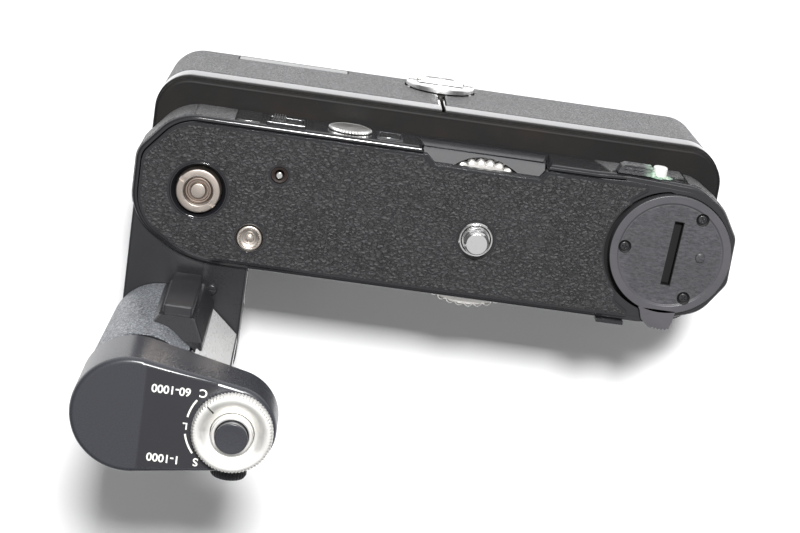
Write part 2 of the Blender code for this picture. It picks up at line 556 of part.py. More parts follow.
emit("lock_disc", facing_rear(turned([(0, -9.0), (2.0, -9.0), (2.0, 0.3), (LOCK_R, 0.3), (LOCK_R, 1.1),
                                      (LOCK_R - 0.5, 1.6), (7.0, 1.6), (7.0, 1.0), (0, 1.0)], n=36),
                              PACK_MID, PACK_Y1, LOCK_Z), "chrome", origin=(PACK_MID, PACK_Y1, LOCK_Z))
bail = [(-6.4, -0.3), (6.4, -0.3), (6.4, 2.0), (4.6, 5.0), (0.0, 6.2), (-4.6, 5.0), (-6.4, 2.0)]
hole = [(-4.6, 1.8), (4.6, 1.8), (4.6, 2.2), (3.4, 3.8), (0.0, 4.6), (-3.4, 3.8), (-4.6, 2.2)]
ring = emit("lock_bail", facing_rear(slab(bail, 1.25, 2.35), PACK_MID, PACK_Y1, LOCK_Z),
            "chrome", origin=(PACK_MID, PACK_Y1 + 1.8, LOCK_Z))
carve(ring, emit("bail_hole", facing_rear(slab(hole, 0.5, 3.0), PACK_MID, PACK_Y1, LOCK_Z)))


def clip_path(side, d, z, reach=0.0):
    """Open plan path round one clip: rear inner end, round the outer end, front inner end."""
    full = pack_outline(d)
    xm = PACK_MID + side * (SPLIT - reach)
    pts = [p for p in full if (p.x - PACK_MID) * side > 0]
    pts.sort(key=lambda p: -math.atan2(p.y - 1.4, (p.x - PACK_MID) * side))
    return [Vector((xm, PACK_Y1 - d, z))] + [Vector((p.x, p.y, z)) for p in pts] + [Vector((xm, PACK_Y0 + d, z))]


def fillet(r, d0, z0, steps=3):
    """Inset and height pairs round a bottom edge."""
    return [(d0 + r * (1 - math.cos(a)), z0 + r * (1 - math.sin(a)))
            for a in [math.pi / 2 * k / steps for k in range(steps + 1)]]


for side, tag in ((-1, "left"), (1, "right")):
    outer = [(0.6 + d, z) for d, z in fillet(3.2, 0.0, 0.7)][::-1] + \
        [(0.6, BAND_Z - 0.4), (0.0, BAND_Z), (0.0, CLIP_Z1 - 0.4), (0.4, CLIP_Z1)]
    clip = emit(tag + "_clip", loft([clip_path(side, d, z) for d, z in outer]), "gloss_black")
    pad_z = emit(tag + "_foot_pad", slab([Vector((p.x, p.y)) for p in clip_path(side, 6.2, 0, -0.5)], 0.0, 1.2))
    carve(clip, pad_z, op="UNION")
    carve(clip, emit(tag + "_bay", loft([clip_path(side, CLIP_WALL + 0.6, z, 4.0) for z in (1.9, 39.8)])))
    reach = sorted((PACK_MID - side * 3, PACK_MID + side * 61.0))
    carve(clip, *[emit("%s_track_%d" % (tag, y), box(*reach, y - 1.3, y + 1.3, 38, 44)) for y in (-12, 14)])
    carve(clip, emit(tag + "_spine_cut", box(*sorted((PACK_MID - side * 3, PACK_MID + side * 6.3)), -16.8, 19.8,
                                             38, 44)))
    carve(clip, emit(tag + "_lock_cut", facing_rear(rod(0, 0, 8.1, 0, 12, 32), PACK_MID, 15.0, LOCK_Z)))
    cover = [(0.0, BAND_Z - 0.6)] + [(d, z + 0.1) for d, z in fillet(3.6, 0.0, 0.0)] + [(5.6, 0.1)]
    hide = wall(emit(tag + "_leather", surface([clip_path(side, d, z) for d, z in cover], False), "leather"), 0.4)
    carve(hide, emit(tag + "_leather_cut", facing_rear(rod(0, 0, 9.6, 0, 12, 32),
                                                       PACK_MID, 20.0, LOCK_Z)))
    if side < 0:
        carve(hide, emit("badge_cut", box(-52.6, -25.6, 23.5, 26, 3.6, 8.8)))
    far = PACK_MID + side * 62.0
    near = PACK_MID + side * 11.5
    lo, hi = sorted((near, far))
    rows = [(1.4 + k * 14.2, 9.6) for k in (-1, 0, 1)] + [(1.4 + k * 14.2, 22.4) for k in (-0.5, 0.5)]
    for i, (y, z) in enumerate(rows):
        cell = turned([(0, 0), (CELL_R, 0), (CELL_R, CELL_L - 1.4), (2.7, CELL_L - 1.4), (2.7, CELL_L),
                       (0, CELL_L)], n=12)
        emit("cell_%s_%d" % (tag, i + 1), moved(cell, Matrix.Translation((lo + 0.2, y, z))
                                                @ Matrix.Rotation(math.radians(90), 4, "Y")), "cell")
    emit(tag + "_contact", box(*sorted((far + side * 1.0, far + side * 1.8)), -17.0, 19.0, 6.0, 28.0), "brass")
emit("badge", box(-52.3, -25.9, 24.0, 24.5, 3.9, 8.5), "label")
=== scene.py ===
"""Looks of the motor drive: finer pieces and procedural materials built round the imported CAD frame.

Shapes are written in millimetres from the middle of the mounting plate (x along the body, y to the
rear, z up from the pack's underside) and are moved to the row frame, in metres, once, in emit().
"""

from math import acos, atan2, cos, degrees, pi, radians, sin, tan, tau

import bmesh
import bpy
from mathutils import Matrix, Vector


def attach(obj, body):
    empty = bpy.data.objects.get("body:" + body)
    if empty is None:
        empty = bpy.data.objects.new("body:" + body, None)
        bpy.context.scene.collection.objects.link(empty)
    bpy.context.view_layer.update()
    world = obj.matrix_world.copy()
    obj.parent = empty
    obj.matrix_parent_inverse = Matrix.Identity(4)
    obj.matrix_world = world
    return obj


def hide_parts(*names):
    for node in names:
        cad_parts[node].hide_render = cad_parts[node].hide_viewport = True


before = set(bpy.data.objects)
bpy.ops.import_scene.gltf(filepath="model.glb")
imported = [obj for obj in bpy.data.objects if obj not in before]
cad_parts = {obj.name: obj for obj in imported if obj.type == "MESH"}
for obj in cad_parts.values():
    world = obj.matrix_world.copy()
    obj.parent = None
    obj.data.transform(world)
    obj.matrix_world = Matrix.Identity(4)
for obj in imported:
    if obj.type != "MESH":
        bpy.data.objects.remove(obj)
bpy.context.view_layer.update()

MM = 0.001
SHIFT = Vector((1.35, 12.225, 0.0))  # plate-centred plan to the row frame, mm
COUPLING, PLUNGER, CONTACT = (-59.0, 0.1), (-45.1, -10.1), (-39.75, 6.7)
SCREW, KEY = (10.5, -2.65), (59.0, 0.4)
RECESS = (58.2, 0.4, 15.7)  # the key's seat: plan point and radius
KEY_SEAT_R = 15.35
KEY_SLOT = (59.5, 0.8)
WHEEL_R = 19.0
GRIP_BIG, GRIP_SMALL, HEAD_SMALL = (-64.5, -37.5), (-52.0, -37.5), (-42.0, -37.6)
DIAL = (-41.6, -37.6)
COUNTER = (-24.0, 18.6, 54.7)
SOCKET_CAP = (-41.6, -47.2, 117.0)
PACK = (-73.6, 72.0, -21.7, 24.5)  # left, right, front and rear of the battery pack
MID = -0.8  # x of the joint between the two clips
LOCK_Z = 10.9
BAND_Z = 34.9  # height where the clips' leather ends and their gloss band begins
THROUGH = (58, 66)  # heights of a cut right through the plate
PRINT_Z = 124.37
BEVEL_TURN = radians(30)  # edges that turn by more than this are rounded
SCENE = bpy.context.scene


# ---- outlines
def soften(points, closed=True, seg=10):
    """Polyline with its corners rounded; a point is (x, y, radius)."""
    out, n = [], len(points)
    for i, (x, y, r) in enumerate(points):
        p = Vector((x, y))
        if r <= 0 or (not closed and i in (0, n - 1)):
            out.append(p)
            continue
        a = Vector(points[i - 1][:2]) - p
        b = Vector(points[(i + 1) % n][:2]) - p
        half = a.angle(b) / 2
        if half > radians(89):
            out.append(p)
            continue
        cut = min(r / tan(half), 0.49 * min(a.length, b.length))
        r = cut * tan(half)
        a.normalize()
        b.normalize()
        centre = p + (a + b).normalized() * (r / sin(half))
        start, end = p + a * cut - centre, p + b * cut - centre
        turn = start.angle_signed(end)
        out += [centre + Matrix.Rotation(-turn * k / seg, 2) @ start for k in range(seg + 1)]
    return out


def inset(points, d):
    """Move every edge of an anticlockwise outline inward by d."""
    out, n = [], len(points)
    for i in range(n):
        p0, p1, p2 = points[i - 1], points[i], points[(i + 1) % n]
        e0, e1 = (p1 - p0).normalized(), (p2 - p1).normalized()
        n0, n1 = Vector((-e0.y, e0.x)), Vector((-e1.y, e1.x))
        out.append(p1 + (n0 + n1) * (d / (1 + n0.dot(n1))))
    return out


def polar(cx, cy, r, turn):
    return Vector((cx + r * cos(turn), cy + r * sin(turn)))


def circle(cx, cy, r, n=96):
    return [polar(cx, cy, r, tau * k / n) for k in range(n)]


def egg(c1, r1, c2, r2, n1=72, n2=36):
    """Outline round a large and a small circle joined by their outer tangents."""
    a, b = Vector(c1), Vector(c2)
    axis = atan2(b.y - a.y, b.x - a.x)
    beta = acos((r1 - r2) / (b - a).length)
    small = [axis - beta + 2 * beta * k / n2 for k in range(n2 + 1)]
    big = [axis + beta + (tau - 2 * beta) * k / n1 for k in range(n1 + 1)]
    return ([b + r2 * Vector((cos(t), sin(t))) for t in small]
            + [a + r1 * Vector((cos(t), sin(t))) for t in big])


def at(points, z):
    return [Vector((p[0], p[1], z)) for p in points]


def plan(*points):
    return [Vector(p) for p in points]


# ---- solids
def loft(rings, caps=True):
    """Mesh through rings of equal length."""
    bm = bmesh.new()
    loops = [[bm.verts.new(p) for p in ring] for ring in rings]
    n = len(loops[0])
    for lower, upper in zip(loops, loops[1:]):
        for i in range(n):
            j = (i + 1) % n
            bm.faces.new((lower[i], lower[j], upper[j], upper[i]))
    if caps:
        bm.faces.new(loops[0][::-1])
        bm.faces.new(loops[-1])
    return bm


def slab(points, z0, z1, edge=0.0, foot=0.0):
    """Flat outline given thickness, its top edge rounded by edge and its bottom edge by foot."""
    def rounding(r, zc, sign):
        steps = 4 if r > 0 else 0
        return [(r * (1 - cos(a)), zc + sign * r * (sin(a) - 1))
                for a in [pi / 2 * k / max(steps, 1) for k in range(steps + 1)]]
    rings = rounding(foot, z0, -1)[::-1] + rounding(edge, z1, 1)
    return loft([at(inset(points, d) if d > 1e-6 else points, z) for d, z in rings])


def prism(section, lo, hi, along="x"):
    """Outline given thickness along x or y; the section is in the two other axes."""
    bm = loft([[Vector((s[0], s[1], t)) for s in section] for t in (lo, hi)])
    axes = {"x": ((0, 0, 1), (1, 0, 0), (0, 1, 0)), "y": ((1, 0, 0), (0, 0, 1), (0, 1, 0))}[along]
    return moved(bm, Matrix(axes).to_4x4())


def box(x0, x1, y0, y1, z0, z1):
    return loft([[Vector((x, y, z)) for x, y in ((x0, y0), (x1, y0), (x1, y1), (x0, y1))] for z in (z0, z1)])


def turned(profile, cx=0.0, cy=0.0, n=96, seg=4):
    """Solid turned about a vertical axis; a profile point is (radius, z) or (radius, z, edge rounding)."""
    closed = profile[0][0] > 1e-6 and profile[-1][0] > 1e-6
    line = soften([(*p, 0.0)[:3] for p in profile], closed, seg)
    bm = bmesh.new()
    rings = []
    for r, z in line:
        if r < 1e-6:
            rings.append([bm.verts.new((cx, cy, z))])
        else:
            rings.append([bm.verts.new((p.x, p.y, z)) for p in circle(cx, cy, r, n)])
    for a, b in list(zip(rings, rings[1:])) + ([(rings[-1], rings[0])] if closed else []):
        for i in range(n):
            j = (i + 1) % n
            if len(a) == 1 and len(b) > 1:
                bm.faces.new((a[0], b[j], b[i]))
            elif len(b) == 1 and len(a) > 1:
                bm.faces.new((a[i], a[j], b[0]))
            elif len(a) > 1:
                bm.faces.new((a[i], a[j], b[j], b[i]))
    return bm


def rod(r, z0, z1, cx=0.0, cy=0.0, n=96):
    """Upright cylinder."""
    return turned([(0, z0), (r, z0), (r, z1), (0, z1)], cx, cy, n)


def moved(bm, matrix):
    bmesh.ops.transform(bm, matrix=matrix, verts=bm.verts)
    return bm


def spun(bm, turn, x=0.0, y=0.0):
    """Turn a part by so many degrees in plan, then move it to x, y."""
    return moved(bm, Matrix.Translation((x, y, 0)) @ Matrix.Rotation(radians(turn), 4, "Z"))


def rear(bm, x, y, z):
    """Stand a part modelled along +Z so that it points to the rear from (x, y, z)."""
    return moved(bm, Matrix.Translation((x, y, z)) @ Matrix.Rotation(radians(-90), 4, "X"))


def front(bm, x, y, z):
    """The same, pointing to the front."""
    return moved(bm, Matrix.Translation((x, y, z)) @ Matrix.Rotation(radians(90), 4, "X"))


def ridged(r, depth, teeth, levels, cx=0.0, cy=0.0, hollow=0.0):
    """Disc with rounded ridges round its edge; levels are (inset, z, share of the ridge depth)."""
    def edge(d, share):
        n = teeth * 6
        return [polar(cx, cy, r - d - depth * share * (1 - abs(sin(pi * k / 6))), tau * k / n)
                for k in range(n)]
    rings = [at(edge(d, share), z) for d, z, share in levels]
    if hollow:
        z0, z1 = levels[0][1], levels[-1][1]
        hole = circle(cx, cy, hollow, teeth * 6)
        bm = loft([at(hole, z0), *rings, at(hole, z1), at(hole, z0)], caps=False)
        bmesh.ops.remove_doubles(bm, verts=bm.verts, dist=1e-5)
        return bm
    return loft(rings)


def joined(*parts):
    """One mesh from several bmeshes."""
    out = bmesh.new()
    for part in parts:
        mesh = bpy.data.meshes.new("part")
        part.to_mesh(mesh)
        part.free()
        out.from_mesh(mesh)
        bpy.data.meshes.remove(mesh)
    return out


def plain_object(name, bm):
    bmesh.ops.recalc_face_normals(bm, faces=bm.faces)
    mesh = bpy.data.meshes.new(name)
    bm.to_mesh(mesh)
    bm.free()
    ob = bpy.data.objects.new(name, mesh)
    SCENE.collection.objects.link(ob)
    return ob


def settle(ob):
    """Apply the object's modifiers."""
    graph = bpy.context.evaluated_depsgraph_get()
    mesh = bpy.data.meshes.new_from_object(ob.evaluated_get(graph))
    ob.modifiers.clear()
    old, ob.data = ob.data, mesh
    bpy.data.meshes.remove(old)


def emit(name, bm, look, body="drive", stands=None, cut=(), bevel=0.0, smooth=34, steps=2):
    """Finish a millimetre mesh as a piece that rides on a body and stands for a CAD node."""
    ob = plain_object(name, bm)
    tools = [plain_object(name + "_cut", c) for c in cut]
    for tool in tools:
        mod = ob.modifiers.new("Cut", "BOOLEAN")
        mod.operation = "DIFFERENCE"
        mod.solver = "EXACT"
        mod.object = tool
    if tools:
        settle(ob)
        for tool in tools:
            bpy.data.objects.remove(tool, do_unlink=True)
    if bevel:
        mod = ob.modifiers.new("Edge", "BEVEL")
        mod.width = bevel
        mod.segments = steps
        mod.limit_method = "ANGLE"
        mod.angle_limit = BEVEL_TURN
        mod.use_clamp_overlap = True
        settle(ob)
    mesh = ob.data
    mesh.transform(Matrix.Scale(MM, 4) @ Matrix.Translation(SHIFT))
    mesh.materials.clear()
    mesh.materials.append(look.mat)
    mesh.shade_smooth()
    mesh.set_sharp_from_angle(angle=radians(smooth))
    shade = ob.modifiers.new("Shade", "WEIGHTED_NORMAL")
    shade.keep_sharp = True
    settle(ob)
    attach(ob, body)
    if stands:
        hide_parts(stands)


# ---- materials
class Look:
    """A procedural material. Its texture lengths are millimetres in the piece's own frame."""

    def __init__(self, name, metallic=0.0, specular=0.5, coat=0.0, coat_rough=0.1):
        self.mat = bpy.data.materials.new(name)
        self.mat.use_nodes = True
        self.tree = self.mat.node_tree
        self.shader = self.tree.nodes["Principled BSDF"]
        for key, value in (("Metallic", metallic), ("IOR", 1.5), ("Specular IOR Level", specular),
                           ("Coat Weight", coat), ("Coat Roughness", coat_rough)):
            self.shader.inputs[key].default_value = value
        where = self.add("ShaderNodeTexCoord").outputs["Object"]
        self.place = self.add("ShaderNodeMapping", {"Vector": where, "Scale": (1000.0,) * 3}).outputs[0]

    def add(self, kind, inputs=None, **props):
        node = self.tree.nodes.new(kind)
        for key, value in props.items():
            setattr(node, key, value)
        for key, value in (inputs or {}).items():
            self.feed(node.inputs[key], value)
        return node

    def feed(self, socket, value):
        if isinstance(value, bpy.types.NodeSocket):
            self.tree.links.new(value, socket)
        else:
            socket.default_value = (*value, 1.0) if socket.type == "RGBA" else value

    def stretched(self, stretch, where=None, turn=0.0):
        inputs = {"Vector": where or self.place, "Scale": stretch, "Rotation": (0, 0, radians(turn))}
        return self.add("ShaderNodeMapping", inputs).outputs[0]

    def warped(self, scale, amount):
        """Places pushed about by up to half of amount, in mm."""
        noise = self.add("ShaderNodeTexNoise", {"Vector": self.place, "Scale": scale, "Detail": 2.0})
        inputs = {0: noise.outputs["Color"], 1: (0.5, 0.5, 0.5)}
        push = self.add("ShaderNodeVectorMath", inputs, operation="SUBTRACT").outputs[0]
        inputs = {0: push, 1: (amount,) * 3, 2: self.place}
        return self.add("ShaderNodeVectorMath", inputs, operation="MULTIPLY_ADD").outputs[0]

    def noise(self, scale, detail=3.0, rough=0.55, where=None):
        inputs = {"Vector": where or self.place, "Scale": scale, "Detail": detail, "Roughness": rough}
        return self.add("ShaderNodeTexNoise", inputs).outputs[0]

    def cells(self, scale, feature="F1", where=None, random=1.0):
        inputs = {"Vector": where or self.place, "Scale": scale, "Randomness": random}
        return self.add("ShaderNodeTexVoronoi", inputs, feature=feature).outputs["Distance"]

    def calc(self, op, a, b=0.5, c=0.0):
        return self.add("ShaderNodeMath", {0: a, 1: b, 2: c}, operation=op).outputs[0]

    def fit(self, x, a, b, lo=0.0, hi=1.0, smooth=False):
        inputs = {"Value": x, "From Min": a, "From Max": b, "To Min": lo, "To Max": hi}
        curve = "SMOOTHSTEP" if smooth else "LINEAR"
        return self.add("ShaderNodeMapRange", inputs, interpolation_type=curve).outputs[0]

    def mix(self, fac, a, b):
        node = self.add("ShaderNodeMix", data_type="RGBA")
        for socket, value in ((node.inputs[0], fac), (node.inputs[6], a), (node.inputs[7], b)):
            self.feed(socket, value)
        return node.outputs[2]

    def axis(self, name):
        return self.add("ShaderNodeSeparateXYZ", {0: self.place}).outputs[name]

    def radius(self, x, y, plane="XY"):
        """Distance from an axis through plan point x, y (row frame, mm)."""
        a, b = self.axis(plane[0]), self.axis(plane[1])
        da, db = self.calc("SUBTRACT", a, x), self.calc("SUBTRACT", b, y)
        squares = self.calc("MULTIPLY", da, da), self.calc("MULTIPLY", db, db)
        return self.calc("SQRT", self.calc("ADD", *squares))

    def bump(self, height, depth):
        """Normal from a 0 to 1 height of that depth in mm."""
        inputs = {"Height": height, "Distance": depth * MM, "Strength": 1.0}
        return self.add("ShaderNodeBump", inputs).outputs[0]

    def done(self, color, rough, normal):
        for key, value in (("Base Color", color), ("Roughness", rough), ("Normal", normal)):
            self.feed(self.shader.inputs[key], value)
        return self


def leather(name, crease_shade, top, grain, depth, stretch=(1.0, 1.0, 1.0), rough=(0.62, 0.42), specular=0.5):
    """Embossed leatherette: rounded pebbles, wandering wrinkles between them and a fine tooth; its colour is
    painted darker in the creases as shade and lighter on the raised tops as highlight.
    """
    k = Look(name, specular=specular)
    where = k.stretched(stretch, k.warped(0.9 * grain, 1.1 / grain))
    pebble = k.fit(k.cells(grain, "F1", where), 0.12, 0.72, 1.0, 0.0, smooth=True)
    fold = k.calc("ABSOLUTE", k.calc("MULTIPLY_ADD", k.noise(grain * 0.85, 3.0, 0.55, where), 2.0, -1.0))
    fold = k.fit(fold, 0.0, 0.11, smooth=True)
    tooth = k.noise(6.0, 2.0)
    height = k.calc("MULTIPLY", k.calc("MULTIPLY_ADD", pebble, 0.55, 0.45), fold)
    height = k.calc("MULTIPLY_ADD", tooth, 0.08, height)
    patches = k.noise(0.045, 3.0, 0.6)
    # painted shade and highlight: the creases take the dark colour, the raised tops the light one
    color = k.mix(k.fit(height, 0.2, 0.9), crease_shade, top)
    color = k.mix(k.fit(patches, 0.35, 0.75, 0.0, 0.35), color, tuple(c * 1.5 for c in top))
    roughness = k.calc("ADD", k.fit(height, 0.1, 0.9, *rough), k.fit(patches, 0.3, 0.7, -0.05, 0.06))
    return k.done(color, roughness, k.bump(height, depth))


def paint(name, color, rough, specular=0.5, coat=0.0, speck=0.4, brown=0.0, grain=0.012, coat_rough=0.1):
    """Enamel, plastic or print with uneven gloss, faint dust and slightly brown worn patches."""
    k = Look(name, specular=specular, coat=coat, coat_rough=coat_rough)
    broad = k.noise(0.06, 4.0, 0.6)
    fine = k.noise(3.2, 3.0)
    dust = k.fit(k.noise(1.1, 5.0, 0.75), 0.60, 0.80, 0.0, speck)
    warm = (color[0] * 2.0, color[1] * 1.6, color[2] * 1.35)
    tint = k.mix(k.fit(broad, 0.45, 0.7, 0.0, brown), color, warm)
    tint = k.mix(dust, tint, tuple(c * 2.4 + 0.004 for c in color))
    roughness = k.calc("ADD", k.fit(broad, 0.3, 0.7, rough - 0.02, rough + 0.03),
                       k.fit(fine, 0.3, 0.7, -0.03, 0.03))
    return k.done(tint, roughness, k.bump(k.noise(6.0, 2.0), grain))


def metal(name, color, rough, axis=None, plane="XY", brushed=0.0, tarnish=(0.25, 0.18, 0.12), dirt=0.25,
          grain=0.004):
    """Plated metal with turning marks round an axis, smears and a little tarnish."""
    k = Look(name, metallic=1.0)
    smear = k.noise(0.35, 4.0, 0.65)
    spots = k.fit(k.noise(1.3, 5.0, 0.7), 0.58, 0.78, 0.0, dirt)
    height = k.noise(7.0, 3.0)
    if axis:
        ring = k.radius(*axis, plane)
        line = k.add("ShaderNodeCombineXYZ", {0: k.calc("MULTIPLY", ring, 9.0)}).outputs[0]
        height = k.calc("ADD", k.calc("MULTIPLY", height, 0.3), k.noise(1.0, 3.0, 0.6, line))
    tint = k.mix(k.fit(smear, 0.35, 0.75, 0.0, 0.3), color, tuple(c * 0.72 for c in color))
    tint = k.mix(spots, tint, tarnish)
    roughness = k.calc("ADD", k.fit(smear, 0.3, 0.7, rough - 0.04, rough + 0.08),
                       k.fit(height, 0.3, 0.8, 0.0, brushed))
    return k.done(tint, roughness, k.bump(height, grain))


def mottled(name, tones, tone_noise, gloss, gloss_noise, depth, grain_noise, **shader):
    """Two close tones, uneven roughness and a fine grain; each noise is (scale, detail)."""
    k = Look(name, **shader)
    return k.done(k.mix(k.noise(*tone_noise), *tones), k.fit(k.noise(*gloss_noise), 0.3, 0.7, *gloss),
                  k.bump(k.noise(*grain_noise), depth))


# each leather's first colour is painted crease shade, its second is painted highlight on the grain's tops
LEATHER_PLATE = leather("leather_plate", (0.005, 0.005, 0.0055), (0.026, 0.026, 0.028), 1.2, 0.16,
                        stretch=(0.8, 1.2, 1.0), rough=(0.70, 0.58))
LEATHER_PACK = leather("leather_pack", (0.016, 0.016, 0.017), (0.115, 0.115, 0.118), 1.5, 0.20,
                       rough=(0.50, 0.36))
LEATHER_GRIP = leather("leather_grip", (0.014, 0.015, 0.018), (0.27, 0.285, 0.31), 1.8, 0.18,
                       stretch=(1.0, 1.0, 0.75), rough=(0.5, 0.30), specular=0.6)
SATIN = paint("satin_black", (0.016, 0.016, 0.018), 0.30)
HOUSING = paint("housing_black", (0.015, 0.015, 0.017), 0.15, speck=0.2, grain=0.005)
MATTE = paint("matte_black", (0.0055, 0.0052, 0.0050), 0.55, specular=0.2, brown=1.0, speck=1.0, grain=0.02)
# Near-black used for real black parts (the dial's index, the grip's core) and as painted shade lining holes,
# screw sinks and recess floors.
BLACK_AND_SHADE = paint("black_and_painted_shade", (0.004, 0.004, 0.004), 0.6, specular=0.25)
HEAD = paint("head_black", (0.032, 0.033, 0.039), 0.28, speck=0.1, grain=0.006)
LABEL_BLACK = paint("label_black", (0.020, 0.020, 0.024), 0.36, speck=0.2, grain=0.01)
GLOSS = paint("gloss_black_band", (0.010, 0.010, 0.012), 0.13, coat=0.4, coat_rough=0.05, speck=0.15,
              grain=0.004)
MIRROR = paint("gloss_panel", (0.010, 0.010, 0.011), 0.10, coat=1.0, coat_rough=0.05, speck=0.08, grain=0.002)
RUBBER = paint("rubber_black", (0.020, 0.020, 0.023), 0.46, specular=0.45, speck=0.5, grain=0.03)
PLASTIC = paint("plastic_black", (0.014, 0.014, 0.015), 0.38, speck=0.4)
CHROME = metal("chrome", (0.84, 0.84, 0.83), 0.13)
STEEL = metal("steel", (0.56, 0.55, 0.53), 0.32, dirt=0.35)
DARK_STEEL = metal("dark_steel", (0.10, 0.095, 0.09), 0.38)
BRASS = metal("brass", (0.72, 0.55, 0.28), 0.30, tarnish=(0.30, 0.20, 0.08))
# The grip's polished facet gets a nearly white, barely metallic base colour: a painted reflection of the white
# surroundings it mirrors.
k = Look("facet_painted_reflection", metallic=0.10, coat=0.8, coat_rough=0.08)
FACET_PAINTED_REFLECTION = k.done(k.mix(k.noise(0.3, 3.0), (0.90, 0.90, 0.89), (0.94, 0.94, 0.93)),
                     k.fit(k.noise(1.0, 3.0, 0.6, k.stretched((1.0, 1.0, 0.2))), 0.3, 0.7, 0.26, 0.30),
                     k.bump(k.noise(1.0, 3.0, 0.6, k.stretched((2.0, 2.0, 0.2))), 0.004))
WHITE_MARK = paint("white_print", (0.72, 0.72, 0.68), 0.55, speck=0.0, grain=0.004)


def row(c):
    """Row-frame plan position, in mm, of a plate-centred point."""
    return c[0] + SHIFT.x, c[1] + SHIFT.y


COUPLE_METAL = metal("coupling_nickel", (0.44, 0.39, 0.35), 0.26, row(COUPLING), brushed=0.16, dirt=0.45,
                     grain=0.022)
COUPLE_DARK = metal("coupling_bronze", (0.26, 0.21, 0.18), 0.34, row(COUPLING), brushed=0.12, grain=0.010)
PLUNGER_METAL = metal("plunger_nickel", (0.58, 0.53, 0.48), 0.24, row(PLUNGER), brushed=0.10, grain=0.008)
SCREW_METAL = metal("screw_chrome", (0.90, 0.90, 0.90), 0.12, row(SCREW), brushed=0.08)
WHEEL_METAL = metal("wheel_chrome", (0.80, 0.78, 0.75), 0.38, row(SCREW), brushed=0.08, dirt=0.3)
DIAL_METAL = metal("dial_satin", (0.93, 0.92, 0.89), 0.44, row(DIAL), brushed=0.10, dirt=0.08, grain=0.010)

# ---- motor housing
HOUSE = soften([
    (-75.2, -9.0, 13.0), (-60.0, -18.5, 22.0), (56.0, -18.5, 16.0), (69.6, -13.6, 9.0), (74.95, -5.6, 4.0),
    (74.95, 6.2, 3.5), (70.6, 13.4, 9.0), (63.4, 18.1, 9.0), (46.0, 18.9, 20.0), (38.0, 18.5, 20.0),
    (-66.4, 18.5, 12.0), (-75.2, 8.0, 6.0)], seg=14)
FOOT = soften([(-74.7, -51.0, 11.5), (-44.7, -51.0, 9.0), (-44.7, -8.0, 0.3), (-74.7, -4.0, 0.3)], seg=16)
LEATHER_EDGE = soften([
    (-73.4, -8.6, 12.0), (-59.4, -16.9, 22.0), (52.2, -16.9, 0.6), (47.2, -13.4, 0.6), (47.2, 13.2, 0.6),
    (52.0, 16.7, 0.6), (-65.4, 16.7, 11.0), (-73.4, 7.3, 5.5)], seg=12)
NOTCH = plan((-7.6, 19.5), (-5.2, 17.4), (-2.3, 14.9), (23.7, 14.9), (25.5, 17.4), (26.8, 19.5))


def grown(points, d):
    return inset(points, -d)


def wheel_notch():
    """The finger notch: one steep blank face with flared sides."""
    section = [(20.0, 47.9), (18.5, 49.2), (15.05, 59.8), (14.6, 66.0), (20.0, 66.0)]
    flare = {20.0: (-8.6, 27.4), 18.5: (-7.4, 26.6), 15.05: (-2.6, 23.9), 14.6: (-2.4, 23.7)}
    return loft([[Vector((flare[y][s], y, z)) for y, z in section] for s in (0, 1)])


def key_edge():
    """Plan of the key's seat: close to the disc, but a crescent wider on its inner side."""
    pts = []
    for i in range(180):
        t = tau * i / 180
        pts.append(polar(*(RECESS if cos(t) < -0.1 else (*KEY, KEY_SEAT_R)), t))
    return pts


gear_gap = box(-73.2, -46.2, -24.0, -12.0, 49.0, 58.4)
emit("housing", loft([at(inset(HOUSE, d), z) for d, z in (
    (1.2, 47.2), (0.6, 47.26), (0.2, 47.5), (0.0, 48.0), (0.0, 61.55), (0.07, 61.85), (0.25, 62.12),
    (0.52, 62.32), (0.85, 62.4), (1.2, 62.4), (1.3, 62.3), (1.3, 48.8))]),
    HOUSING, "drive", "motor_housing",
    cut=[wheel_notch(), rod(WHEEL_R + 0.6, 54.5, 58.9, *SCREW), gear_gap])
emit("notch_back", loft([plan(*quad) for quad in (
    ((-10.4, 10.0, 47.6), (28.9, 10.0, 47.6), (28.9, 18.45, 47.6), (-10.4, 18.45, 47.6)),
    ((-9.1, 10.0, 50.0), (28.3, 10.0, 50.0), (28.3, 18.2, 50.0), (-9.1, 18.2, 50.0)),
    ((-4.0, 10.0, 60.35), (25.4, 10.0, 60.35), (25.4, 14.9, 60.35), (-4.0, 14.9, 60.35)))]), GLOSS,
    cut=[rod(WHEEL_R + 0.2, 54.9, 62, *SCREW, 160)])
emit("foot", slab(FOOT, 47.2, 60.5, 0.7, 0.9), SATIN, "drive", None,
     cut=[slab(soften([(-73.2, -49.5, 10.0), (-46.2, -49.5, 7.5), (-46.2, -14.0, 0.5), (-73.2, -7.0, 0.5)]),
               48.8, 58.7)])
emit("foot_trim", joined(*[box(-44.75, -44.45, -31.0 + i, -20.0, z, z + 1.5)
                           for i, z in enumerate((49.6, 52.2, 54.8, 57.4))]), CHROME, bevel=0.12)
emit("foot_screw", turned([(0, 60.2), (1.5, 60.2), (1.5, 60.7, 0.2), (1.1, 61.0, 0.3), (0, 61.05)],
                          -52.9, -25.5, 32), SATIN,
     cut=[spun(box(-1.2, 1.2, -0.16, 0.16, 60.8, 61.3), 0, -52.9, -25.5)])
emit("key_stop", box(43.4, 50.4, -19.2, -18.2, 60.2, 64.1), GLOSS, bevel=0.22)

HOLES = [(COUPLING, 7.2), (PLUNGER, 3.7), (CONTACT, 2.2), (SCREW, 4.5)]


def bores(grow=0.0):
    return [rod(r + grow, *THROUGH, *c, 72) for c, r in HOLES]


